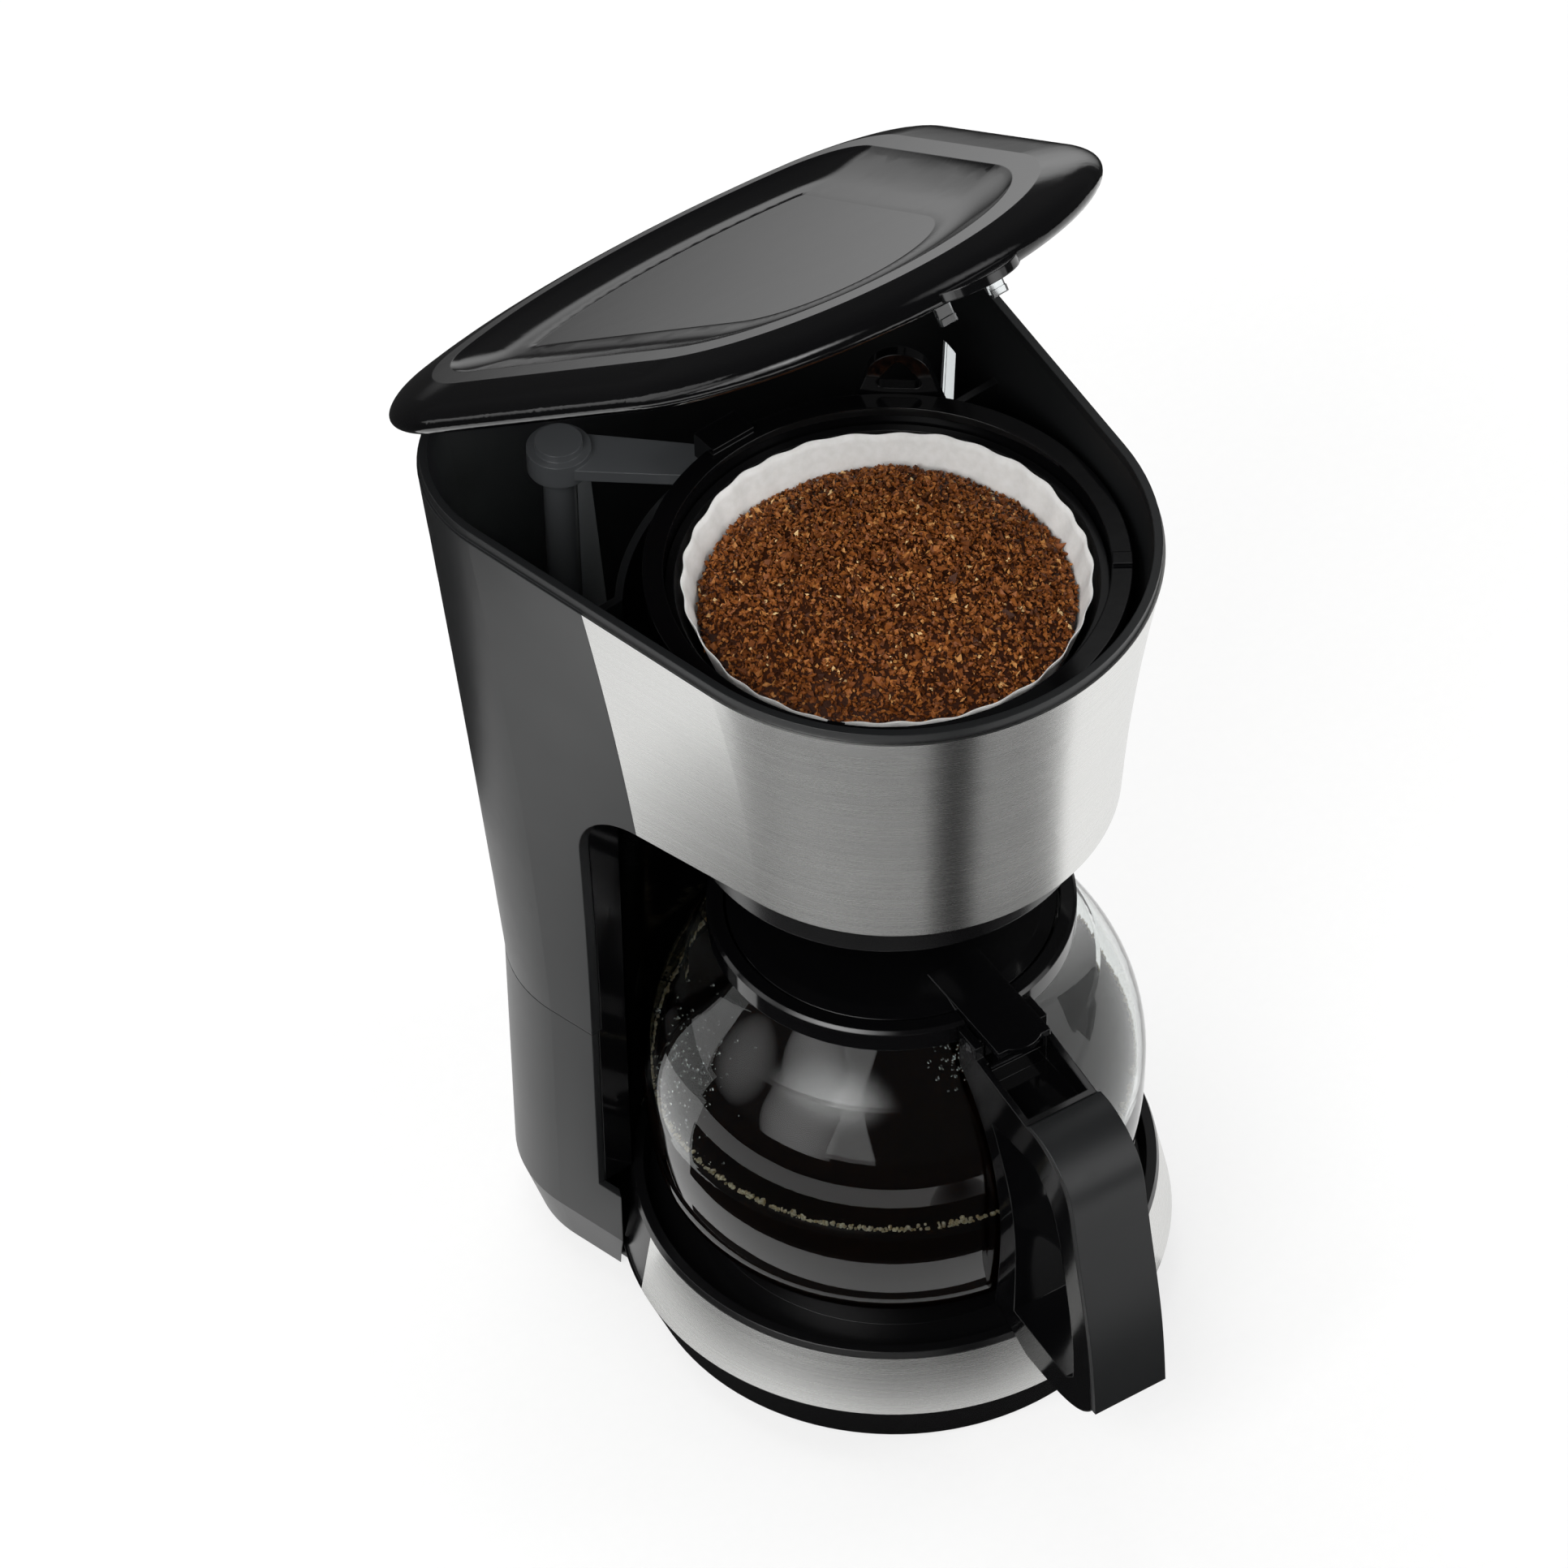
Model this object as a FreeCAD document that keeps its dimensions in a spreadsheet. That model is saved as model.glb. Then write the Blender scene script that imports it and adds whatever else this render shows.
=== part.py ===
import FreeCAD, Part
import math
import os

import Sketcher
from FreeCAD import Placement, Rotation, Vector

# A ten-cup drip coffee maker.  Millimetres, +Z up, the machine's front faces -Y.
# The origin is where the axis of the filter basket and carafe meets the counter.

DOC = FreeCAD.newDocument("DripCoffeeMaker")
SHEET = DOC.addObject("Spreadsheet::Sheet", "Sizes")

# Driving dimensions: name -> size.  Every other size is worked out from these.
DRIVING = {
    "gap": 0.3,                  # between pieces that move past each other
    "seat_gap": 0.1,             # between fixed pieces that slip together
    "pin_gap": 0.05,             # radial, a pin in its running hole
    "wall": 2.4,                 # moulded housings
    # base
    "foot_height": 1.0,          # the feet stand the base off the counter by this
    "foot_radius": 8.0,
    "floor_radius": 78.2,        # base drum at the counter
    "ring_radius": 84.5,         # base drum at its widest
    "ring_z": 17.9,              # top of the black foot ring, where the steel band starts
    "band_top_z": 38.8,
    "band_top_radius": 80.4,
    "band_thick": 0.8,
    "lip_z": 41.0,
    "lip_radius": 79.6,
    "trough_radius": 75.0,
    "trough_z": 32.0,
    "cover_thick": 2.5,
    # warming plate and heater
    "plate_radius": 62.0,
    "plate_top_z": 46.4,
    "plate_thick": 1.6,
    "plate_skirt": 6.0,
    "element_ring": 40.0,
    "element_radius": 4.0,
    "water_ring": 49.5,
    "water_radius": 5.0,
    "water_bore": 3.2,
    "hose_radius": 6.6,
    # housings
    "egg_y": -3.0,               # centre of the outline's front arc
    "seam_z": 109.0,             # joint between lower and upper housing
    "panel_z": 212.5,            # lower edge of the upper steel band
    "rim_z": 303.5,              # upper edge of the upper steel band
    "lip_height": 3.5,           # black lip above it
    "foot_inset": 6.0,           # the column draws in by this at the counter
    "foot_flare_z": 21.0,
    "seam_front": 66.0, "seam_side": 11.5, "seam_corner": 40.0, "seam_rear": 119.0,
    "mid_front": 65.8, "mid_side": 13.7, "mid_corner": 43.0, "mid_rear": 131.0,
    "rim_front": 77.4, "rim_side": 9.4, "rim_corner": 46.0, "rim_rear": 141.3,
    "rear_radius": 150.0,
    "bay_radius": 80.0,          # concave bay behind the carafe
    "bay_front_y": 47.0,         # flat front edges of the column
    "bay_wall": 2.0,
    "head_band_thick": 0.8,
    "head_band_end_y": 29.0,
    # brewing chamber
    "partition_radius": 76.0,
    "tank_floor_z": 128.0,
    "funnel_low_z": 197.0,
    "funnel_low_radius": 60.0,
    "carrier_radius": 70.0,
    "carrier_top_z": 295.0,
    "carrier_bore": 64.0,
    "loop_height": 22.0, "loop_foot": 14.0, "loop_thick": 3.6,
    "basket_radius": 63.5,
    "basket_rim_z": 289.0,
    "basket_low_z": 222.0,
    "basket_low_radius": 40.0,
    "filter_thick": 0.6,
    "filter_low_radius": 37.5,
    "grounds_rise": 9.0,
    "nozzle_radius": 9.0,
    "nozzle_z": 176.0,
    "plunger_radius": 3.2,
    "plunger_travel": 4.0,
    "outlet_z": 284.0,
    "riser_x": -39.0, "riser_y": 103.0,
    # lid
    "hinge_y": 133.0, "hinge_z": 310.6,
    "lid_open": 36.5,            # degrees the lid stands open
    "lid_overhang": 4.5,
    "lid_thick": 9.6,
    "lid_wall": 2.4,
    "pin_radius": 1.6,
    "pin_half": 43.0,
    # carafe
    "glass_bottom_z": 46.8,
    "glass_foot_radius": 65.0,
    "glass_heel_z": 60.0, "glass_heel_radius": 73.6,
    "glass_wide_z": 86.0, "glass_wide_radius": 75.9,
    "glass_neck_z": 147.0, "glass_neck_radius": 50.0,
    "glass_top_z": 153.0,
    "glass_wall": 2.0,
    "coffee_z": 90.0,
    "collar_radius": 54.9,
    "collar_low_z": 148.5,
    "collar_top_z": 156.0,
    "carafe_lid_radius": 49.0,
    "lid_swing_gap": 0.9,        # round the carafe lid, which swings as it opens
    "handle_width": 25.0,
    "handle_reach": 127.5,
    "handle_low_z": 43.4,
    "strap_thick": 1.8,
    "handle_turn": -6.0,         # the carafe stands turned a little on its plate
    "thumb_pin_reach": 60.0,
    # switch and cord inlet
    "switch_y": 78.0, "switch_z": 62.0,
    "switch_wide": 13.0, "switch_high": 19.0,
    "inlet_x": 30.0, "inlet_z": 28.0, "inlet_bore": 3.6,
}

for row, (alias, number) in enumerate(DRIVING.items(), start=1):
    SHEET.set(f"A{row}", alias)
    SHEET.set(f"B{row}", str(number))
    SHEET.setAlias(f"B{row}", alias)
DOC.recompute()


class Dim:
    """A size from the sheet, or a sum, difference or product, with its expression."""

    def __init__(self, value, text):
        self.value = float(value)
        self.text = text

    def __add__(self, other):
        other = dim(other)
        return Dim(self.value + other.value, f"({self.text} + {other.text})")

    def __sub__(self, other):
        other = dim(other)
        return Dim(self.value - other.value, f"({self.text} - {other.text})")

    def __mul__(self, other):
        other = dim(other)
        return Dim(self.value * other.value, f"({self.text} * {other.text})")

    def __truediv__(self, other):
        other = dim(other)
        return Dim(self.value / other.value, f"({self.text} / {other.text})")

    def __neg__(self):
        return Dim(-self.value, f"(-{self.text})")

    def __radd__(self, other):
        return dim(other) + self

    def __rsub__(self, other):
        return dim(other) - self


def dim(number):
    """A plain number as a Dim."""
    return number if isinstance(number, Dim) else Dim(number, repr(float(number)))


class Sheet:
    """Reads a size of the sheet by name: SIZE.wall."""

    def __getattr__(self, alias):
        return Dim(SHEET.get(alias), f"Sizes.{alias}")


SIZE = Sheet()
NODES = []


def node(thing, label):
    """Names a finished piece, which is written to parts/LABEL.step."""
    thing.Label = label
    NODES.append(thing)
    return thing


def place(thing, x=0, y=0, z=0):
    """Binds an object's place to sizes of the sheet."""
    for letter, value in zip("xyz", (x, y, z)):
        value = dim(value)
        setattr(thing.Placement.Base, letter, value.value)
        thing.setExpression(f"Placement.Base.{letter}", value.text)
    return thing


def bind(thing, **sizes):
    """Binds properties such as Radius to sizes of the sheet."""
    for prop, value in sizes.items():
        value = dim(value)
        setattr(thing, prop, value.value)
        thing.setExpression(prop, value.text)
    return thing


def turn(thing, axis, degrees):
    """Turns an object about its own place."""
    thing.Placement.Rotation = Rotation(Vector(*axis), degrees)
    return thing


# ---- Part primitives ----------------------------------------------------------

AIM = {"z": None, "x": ((0, 1, 0), 90), "y": ((1, 0, 0), -90)}


def rod(name, radius, length, x=0, y=0, z=0, along="z"):
    """A cylinder that starts at (x, y, z) and runs along +Z, +X or +Y."""
    made = bind(DOC.addObject("Part::Cylinder", name), Radius=radius, Height=length)
    if AIM[along]:
        turn(made, *AIM[along])
    return place(made, x, y, z)


def block(name, length, width, height, x=0, y=0, z=0):
    """A box with (x, y, z) at the middle of its underside."""
    made = bind(DOC.addObject("Part::Box", name), Length=length, Width=width, Height=height)
    return place(made, dim(x) - dim(length) / 2, dim(y) - dim(width) / 2, z)


def cone(name, low, high, height, z=0, x=0, y=0):
    """A cone frustum on the vertical through (x, y)."""
    made = bind(DOC.addObject("Part::Cone", name), Radius1=low, Radius2=high, Height=height)
    return place(made, x, y, z)


def fuse(name, *things):
    """One solid from several that meet."""
    made = DOC.addObject("Part::MultiFuse", name)
    made.Shapes = list(things)
    made.Refine = True
    return made


def cut(name, base, *tools):
    """A solid with others taken out of it."""
    made = DOC.addObject("Part::Cut", name)
    made.Base = base
    made.Tool = tools[0] if len(tools) == 1 else group(f"{name}_tools", *tools)
    return made


def common(name, *things):
    """What several solids share."""
    made = DOC.addObject("Part::MultiCommon", name)
    made.Shapes = list(things)
    return made


def group(name, *things):
    """Several separate solids as one object, for fasteners and for cutting tools."""
    made = DOC.addObject("Part::Compound", name)
    made.Links = list(things)
    return made


# ---- PartDesign bodies --------------------------------------------------------

class Bow:
    """The arc that ends at (x, y): radius above 0 bulges left of the way it runs."""

    def __init__(self, x, y, radius):
        self.x, self.y, self.radius = dim(x), dim(y), dim(radius)


def arc_edge(start, end, radius):
    """The arc from start to end, and whether it runs backwards in the sketch."""
    chord = end - start
    left = Vector(-chord.y, chord.x, 0).normalize()
    size = abs(radius)
    rise = math.sqrt(max(size ** 2 - (chord.Length / 2) ** 2, 0.0))
    side = 1 if radius > 0 else -1
    centre = (start + end) * 0.5 - left * rise * side
    angles = [math.atan2(p.y - centre.y, p.x - centre.x) for p in (start, end)]
    backwards = radius > 0
    if backwards:
        angles.reverse()
    circle = Part.Circle(centre, Vector(0, 0, 1), size)
    return Part.ArcOfCircle(circle, angles[0], angles[1]), backwards


def draw(sketch, outline):
    """Draws a closed outline, each corner tied to sizes of the sheet."""
    corners = [(p.x, p.y, p.radius) if isinstance(p, Bow) else (dim(p[0]), dim(p[1]), None)
               for p in outline]
    spots = [Vector(x.value, y.value, 0) for x, y, _ in corners]
    ends = []
    for i, (_, _, radius) in enumerate(corners):
        start, end = spots[i - 1], spots[i]
        if radius is None:
            geo, backwards = Part.LineSegment(start, end), False
        else:
            geo, backwards = arc_edge(start, end, radius.value)
        index = sketch.addGeometry(geo, False)
        ends.append((index, 2, 1) if backwards else (index, 1, 2))
    for i, (index, first, _) in enumerate(ends):
        before, _, last = ends[i - 1]
        sketch.addConstraint(Sketcher.Constraint("Coincident", before, last, index, first))
    for (index, _, last), (x, y, radius) in zip(ends, corners):
        tie(sketch, "DistanceX", index, last, x, -2)
        tie(sketch, "DistanceY", index, last, y, -1)
        if radius is not None:
            size = radius if radius.value > 0 else -radius
            made = sketch.addConstraint(Sketcher.Constraint("Radius", index, size.value))
            sketch.setExpression(f"Constraints[{made}]", size.text)


def tie(sketch, kind, index, corner, value, axis):
    """Ties one coordinate of a corner, or puts it on the axis where that is 0."""
    if value.value == 0:
        sketch.addConstraint(Sketcher.Constraint("PointOnObject", index, corner, axis))
        return
    rule = Sketcher.Constraint(kind, -1, 1, index, corner, value.value)
    made = sketch.addConstraint(rule)
    sketch.setExpression(f"Constraints[{made}]", value.text)


def sketch_in(body, role, name, outline):
    """A sketch on one of a body's own origin planes."""
    plane = [f for f in body.Origin.OriginFeatures if f.Role == role][0]
    sketch = body.newObject("Sketcher::SketchObject", name)
    sketch.AttachmentSupport = [(plane, "")]
    sketch.MapMode = "FlatFace"
    draw(sketch, outline)
    return sketch


def turned(name, outline):
    """A body turned about Z from an (r, z) outline."""
    body = DOC.addObject("PartDesign::Body", name)
    sketch = sketch_in(body, "XZ_Plane", f"{name}_profile", outline)
    revolution = body.newObject("PartDesign::Revolution", f"{name}_turn")
    revolution.Profile = sketch
    revolution.ReferenceAxis = (sketch, ["V_Axis"])
    revolution.Angle = 360
    return body


def padded(name, outline, height, z=0, holes=()):
    """A flat body: an (x, y) outline raised by height from z, with pockets through it."""
    body = DOC.addObject("PartDesign::Body", name)
    sketch = sketch_in(body, "XY_Plane", f"{name}_outline", outline)
    pad = body.newObject("PartDesign::Pad", f"{name}_pad")
    pad.Profile = sketch
    bind(pad, Length=height)
    for i, hole in enumerate(holes):
        inner = sketch_in(body, "XY_Plane", f"{name}_hole{i}", hole)
        pocket = body.newObject("PartDesign::Pocket", f"{name}_pocket{i}")
        pocket.Profile = inner
        pocket.Type = 1
        pocket.Reversed = True
    return place(body, z=z)


def feature(name, shape):
    """A piece whose shape is worked out in code from the sheet's sizes."""
    made = DOC.addObject("Part::Feature", name)
    made.Shape = shape
    return made


# ---- The housings' egg-shaped outline -----------------------------------------

def egg(level, z, inset=0.0):
    """The closed outline of a level, an exact offset when inset is above 0.

    A front arc, two straight sides that spread towards the rear, two corner arcs and
    a shallow rear arc, each tangent to the next.
    """
    front, side, corner, rear = (SIZE.__getattr__(f"{level}_{part}").value
                                 for part in ("front", "side", "corner", "rear"))
    rear_radius = SIZE.rear_radius.value
    front_mid = Vector(0, SIZE.egg_y.value, 0)
    rear_mid = Vector(0, rear - rear_radius, 0)
    slope = math.radians(side)
    out = Vector(math.cos(slope), -math.sin(slope), 0)
    along = Vector(math.sin(slope), math.cos(slope), 0)
    start = out * (front + out.dot(front_mid) - corner)
    away = start - rear_mid
    reach = away.dot(along)
    run = -reach + math.sqrt(reach ** 2 - away.dot(away) + (rear_radius - corner) ** 2)
    corner_mid = start + along * run
    front, corner, rear_radius = front - inset, corner - inset, rear_radius - inset
    rear_way = (corner_mid - rear_mid).normalize()
    side_low = front_mid + out * front
    side_high = corner_mid + out * corner
    rear_end = rear_mid + rear_way * rear_radius
    corner_way = (out + rear_way).normalize()

    def left(p):
        return Vector(-p.x, p.y, 0)

    edges = [
        Part.Arc(left(side_low), front_mid - Vector(0, front, 0), side_low),
        Part.LineSegment(side_low, side_high),
        Part.Arc(side_high, corner_mid + corner_way * corner, rear_end),
        Part.Arc(rear_end, rear_mid + Vector(0, rear_radius, 0), left(rear_end)),
        Part.Arc(left(rear_end), left(corner_mid + corner_way * corner), left(side_high)),
        Part.LineSegment(left(side_high), left(side_low)),
    ]
    wire = Part.Wire([edge.toShape() for edge in edges])
    wire.translate(Vector(0, 0, z))
    return wire


def loft(sections, ruled=False):
    """A solid through (level, z, inset) sections."""
    return Part.makeLoft([egg(*section) for section in sections], True, ruled)


def tall(z, height, radius):
    """A plain upright cylinder on the axis."""
    return Part.makeCylinder(radius, height, Vector(0, 0, z))


def slab(x, y, z):
    """A box from three (low, high) pairs."""
    low = Vector(x[0], y[0], z[0])
    return Part.makeBox(x[1] - x[0], y[1] - y[0], z[1] - z[0], low)


WIDE = 200.0                         # further out than any piece reaches
LIP_Z = SIZE.rim_z + SIZE.lip_height


def upper_solid(inset, top=0.0):
    """The upper housing's filled form, drawn in by inset."""
    seam, mid, rim, lip = (v.value for v in (SIZE.seam_z, SIZE.panel_z, SIZE.rim_z, LIP_Z))
    form = loft([("seam", seam, inset), ("mid", mid, inset), ("rim", rim, inset)])
    lip_inset = max(inset, SIZE.head_band_thick.value)
    cap = loft([("rim", rim, lip_inset), ("rim", lip + top, lip_inset)], True)
    return form.fuse(cap)


def lower_solid(inset):
    """The lower housing's filled form: upright, drawn in towards the counter."""
    foot, flare, seam = (v.value for v in (SIZE.foot_height, SIZE.foot_flare_z, SIZE.seam_z))
    drawn = SIZE.foot_inset.value
    low = loft([("seam", foot, inset + drawn), ("seam", flare, inset)], True)
    return low.fuse(loft([("seam", flare, inset), ("seam", seam, inset)], True))


def bay_space(low):
    """The space in front of the column: flat front edges and a rounded top corner."""
    front, top = SIZE.bay_front_y.value, SIZE.panel_z.value
    bend = front - (SIZE.head_band_end_y.value - 4)
    rounded = Part.makeCylinder(bend, 2 * WIDE, Vector(-WIDE, front - bend, top - bend),
                                Vector(1, 0, 0))
    space = slab((-WIDE, WIDE), (-WIDE, front - bend), (low, top))
    space = space.fuse(slab((-WIDE, WIDE), (front - bend, front), (low, top - bend)))
    return space.fuse(rounded)


def bay_wall(low, high, near, thick, front):
    """The column's front: a concave wall round the carafe and a flat one each side."""
    curved = tall(low, high - low, near + thick).cut(tall(low, high - low, near))
    curved = curved.common(slab((-WIDE, WIDE), (front, WIDE), (low, high)))
    flat = slab((-WIDE, WIDE), (front, front + thick), (low, high))
    flat = flat.cut(tall(low, high - low, near + thick / 2))
    return curved.fuse(flat)


# ---- Base ---------------------------------------------------------------------

PLATE_GAP = SIZE.gap
WELL_RADIUS = SIZE.plate_radius - 2.0
SHELL_LOW = SIZE.foot_height
BAND_SEAT = SIZE.band_thick + SIZE.seat_gap
COVER_TOP = SHELL_LOW + SIZE.cover_thick
SCREW_SPOTS = ((-52, -34), (52, -34), (-56, 76), (56, 76))
FOOT_SPOTS = ((-38, -52), (38, -52), (-46, 92), (46, 92))
RING_UNDER = SIZE.ring_radius - SIZE.wall


def build_base_shell():
    """The round drum that carries the plate, open below, with the trough and lip."""
    drum = turned("drum", [
        (SIZE.floor_radius, SHELL_LOW),
        (SIZE.ring_radius, SIZE.ring_z),
        (SIZE.ring_radius - BAND_SEAT, SIZE.ring_z),
        (SIZE.band_top_radius - BAND_SEAT, SIZE.band_top_z),
        (SIZE.band_top_radius, SIZE.band_top_z),
        (SIZE.lip_radius, SIZE.lip_z),
        (SIZE.trough_radius + 1.5, SIZE.lip_z),
        (SIZE.trough_radius, SIZE.trough_z),
        (WELL_RADIUS + 1.0, SIZE.trough_z),
        (WELL_RADIUS + 1.0, SIZE.plate_top_z - SIZE.plate_skirt - 1.0),
        (WELL_RADIUS - 1.4, SIZE.plate_top_z - SIZE.plate_skirt - 1.0),
        (WELL_RADIUS - 1.4, SIZE.trough_z - SIZE.wall),
        (SIZE.trough_radius - 1.0, SIZE.trough_z - SIZE.wall),
        (SIZE.band_top_radius - BAND_SEAT - SIZE.wall, SIZE.band_top_z - 3.0),
        (SIZE.ring_radius - BAND_SEAT - SIZE.wall, SIZE.ring_z),
        (SIZE.floor_radius - SIZE.wall, SHELL_LOW),
    ])
    rear_way = block("drum_rear_way", 170, 60, SIZE.trough_z - SIZE.wall - SHELL_LOW - 0.5,
                     0, 72, SHELL_LOW - 0.5)
    bosses = []
    for i, (x, y) in enumerate(SCREW_SPOTS[:2]):
        bosses.append(rod(f"drum_boss{i}", 4.5, SIZE.trough_z - COVER_TOP - 1.0, x, y,
                          COVER_TOP + 0.05))
    bores = [rod(f"drum_bore{i}", 1.5, 14, x, y, COVER_TOP)
             for i, (x, y) in enumerate(SCREW_SPOTS[:2])]
    solid = fuse("drum_bossed", cut("drum_open", drum, rear_way), *bosses)
    node(cut("base_shell", solid, *bores), "base_shell")


def build_base_band():
    """The brushed steel band round the drum, ending beside the column."""
    ring = turned("band_ring", [
        (SIZE.ring_radius - SIZE.band_thick, SIZE.ring_z + 0.05),
        (SIZE.ring_radius, SIZE.ring_z + 0.05),
        (SIZE.band_top_radius, SIZE.band_top_z - 0.05),
        (SIZE.band_top_radius - SIZE.band_thick, SIZE.band_top_z - 0.05),
    ])
    rear = block("band_rear", 2 * WIDE, WIDE, WIDE, 0, 22 + WIDE / 2, 0)
    node(cut("base_band", ring, rear), "base_band")


def build_base_cover():
    """The plate under the base, with screw holes and foot seats."""
    drawn = SIZE.foot_inset.value + SIZE.wall.value + SIZE.gap.value
    low, thick = SHELL_LOW.value, SIZE.cover_thick.value
    column = Part.Face(egg("seam", low, drawn)).extrude(Vector(0, 0, thick))
    column = column.common(slab((-WIDE, WIDE), (43, WIDE), (low, low + thick)))
    inner = (SIZE.floor_radius - SIZE.wall - SIZE.gap).value
    plate = column.fuse(tall(low, thick, inner))
    for x, y in SCREW_SPOTS:
        plate = plate.cut(Part.makeCylinder(1.8, thick, Vector(x, y, low)))
        plate = plate.cut(Part.makeCylinder(3.4, 1.2, Vector(x, y, low)))
    seat = SIZE.foot_radius.value + SIZE.seat_gap.value
    for x, y in FOOT_SPOTS:
        plate = plate.cut(Part.makeCylinder(seat, 1.2, Vector(x, y, low)))
    node(feature("base_cover", plate.removeSplitter()), "base_cover")


def screw(name, x, y, z, length, size=1.4, head=3.0, along="z"):
    """A pan-head screw that points up, its head's face at z."""
    shank = rod(f"{name}_shank", size, length, x, y, z, along)
    cap = rod(f"{name}_head", head, 1.1, x, y, z, along)
    return fuse(name, shank, cap)


def build_base_fittings():
    """Rubber feet and the screws that hold the cover."""
    feet = [rod(f"foot{i}", SIZE.foot_radius, SIZE.foot_height + 1.15, x, y, 0)
            for i, (x, y) in enumerate(FOOT_SPOTS)]
    node(group("rubber_feet", *feet), "rubber_feet")
    screws = [screw(f"cover_screw{i}", x, y, SHELL_LOW + 0.05, 12)
              for i, (x, y) in enumerate(SCREW_SPOTS)]
    node(group("cover_screws", *screws), "cover_screws")


# ---- Warming plate and water heater -------------------------------------------

PLATE_UNDER = SIZE.plate_top_z - SIZE.plate_thick
ELEMENT_Z = PLATE_UNDER - SIZE.element_radius
WATER_Z = PLATE_UNDER - SIZE.water_radius
MOUTH = 25.0                         # degrees each side of the rear left open
HOSE_Z = 14.0


def horseshoe(name, ring, radius, z):
    """A round bar bent round the axis, open at the rear."""
    made = bind(DOC.addObject("Part::Torus", name), Radius1=ring, Radius2=radius,
                Angle3=360 - 2 * MOUTH)
    turn(made, (0, 0, 1), 90 + MOUTH)
    return place(made, 0, 0, z)


def leg_spots(ring):
    """Where the two ends of a horseshoe lie."""
    return [(ring * side * math.sin(math.radians(MOUTH)),
             ring * math.cos(math.radians(MOUTH))) for side in (-1, 1)]


def build_warming_plate():
    """The enamelled steel plate and the silicone ring that seals it."""
    node(turned("warming_plate", [
        (0, PLATE_UNDER),
        (SIZE.plate_radius - SIZE.plate_thick, PLATE_UNDER),
        (SIZE.plate_radius - SIZE.plate_thick, SIZE.plate_top_z - SIZE.plate_skirt),
        (SIZE.plate_radius, SIZE.plate_top_z - SIZE.plate_skirt),
        (SIZE.plate_radius, SIZE.plate_top_z - 1.0),
        (SIZE.plate_radius - 1.0, SIZE.plate_top_z),
        (0, SIZE.plate_top_z),
    ]), "warming_plate")
    low = SIZE.plate_top_z - SIZE.plate_skirt - 1.0
    node(turned("plate_gasket", [
        (WELL_RADIUS - 1.2, low + 0.05),
        (WELL_RADIUS + 0.3, low + 0.05),
        (WELL_RADIUS + 0.3, PLATE_UNDER - 0.05),
        (WELL_RADIUS - 1.2, PLATE_UNDER - 0.05),
    ]), "plate_gasket")


def build_heater():
    """The sheathed element, the water tube beside it and what guards them."""
    pins = [rod(f"element_pin{i}", 1.6, 12, x, y, ELEMENT_Z - 12)
            for i, (x, y) in enumerate(leg_spots(SIZE.element_ring))]
    bar = horseshoe("element_bar", SIZE.element_ring, SIZE.element_radius, ELEMENT_Z)
    node(fuse("heating_element", bar, *pins), "heating_element")
    legs, bores = [], []
    for i, (x, y) in enumerate(leg_spots(SIZE.water_ring)):
        legs.append(rod(f"water_leg{i}", SIZE.water_radius, WATER_Z - HOSE_Z - 6, x, y,
                        HOSE_Z + 6))
        bores.append(rod(f"water_leg_bore{i}", SIZE.water_bore, WATER_Z - HOSE_Z - 6, x, y,
                         HOSE_Z + 6))
    bar = horseshoe("water_bar", SIZE.water_ring, SIZE.water_radius, WATER_Z)
    knees = [bind(DOC.addObject("Part::Sphere", f"water_knee{i}"), Radius=SIZE.water_radius)
             for i in range(2)]
    for knee, (x, y) in zip(knees, leg_spots(SIZE.water_ring)):
        place(knee, x, y, WATER_Z)
    hollow = horseshoe("water_hollow", SIZE.water_ring, SIZE.water_bore, WATER_Z)
    solid = fuse("water_solid", bar, *legs, *knees)
    node(cut("water_tube", solid, hollow, *bores), "water_tube")
    clip = block("clamp_bar", 24, 7, 2, 0, 1.0 - SIZE.element_ring,
                 ELEMENT_Z - SIZE.element_radius - 2.1)
    post = rod("clamp_post", 4, 9, 0, -26, ELEMENT_Z - SIZE.element_radius - 2.1)
    clip = fuse("clamp_blank", clip, block("clamp_tongue", 12, 22, 2, 0, -30,
                                           ELEMENT_Z - SIZE.element_radius - 2.1), post)
    hole = rod("clamp_hole", 1.7, 20, 0, -26, ELEMENT_Z - 12)
    node(cut("element_clamp", clip, hole), "element_clamp")
    node(screw("clamp_screw", 0, -26, ELEMENT_Z - SIZE.element_radius - 3.3, 9),
         "clamp_screw")
    disc = rod("thermostat_disc", 9, 6, 0, 0, PLATE_UNDER - 6.1)
    tabs = [block(f"thermostat_tab{i}", 0.8, 6, 9, side * 6, 0, PLATE_UNDER - 13)
            for i, side in enumerate((-1, 1))]
    node(fuse("thermostat", disc, *tabs), "thermostat")
    fuses = []
    for i, side in enumerate((-1, 1)):
        body = rod(f"fuse_body{i}", 2.4, 14, side * 20, -7, PLATE_UNDER - 2.6, "y")
        lead = rod(f"fuse_lead{i}", 0.6, 30, side * 20, -15, PLATE_UNDER - 2.6, "y")
        fuses.append(fuse(f"fuse{i}", body, lead))
    node(group("thermal_fuses", *fuses), "thermal_fuses")


# ---- Hoses --------------------------------------------------------------------

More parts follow.
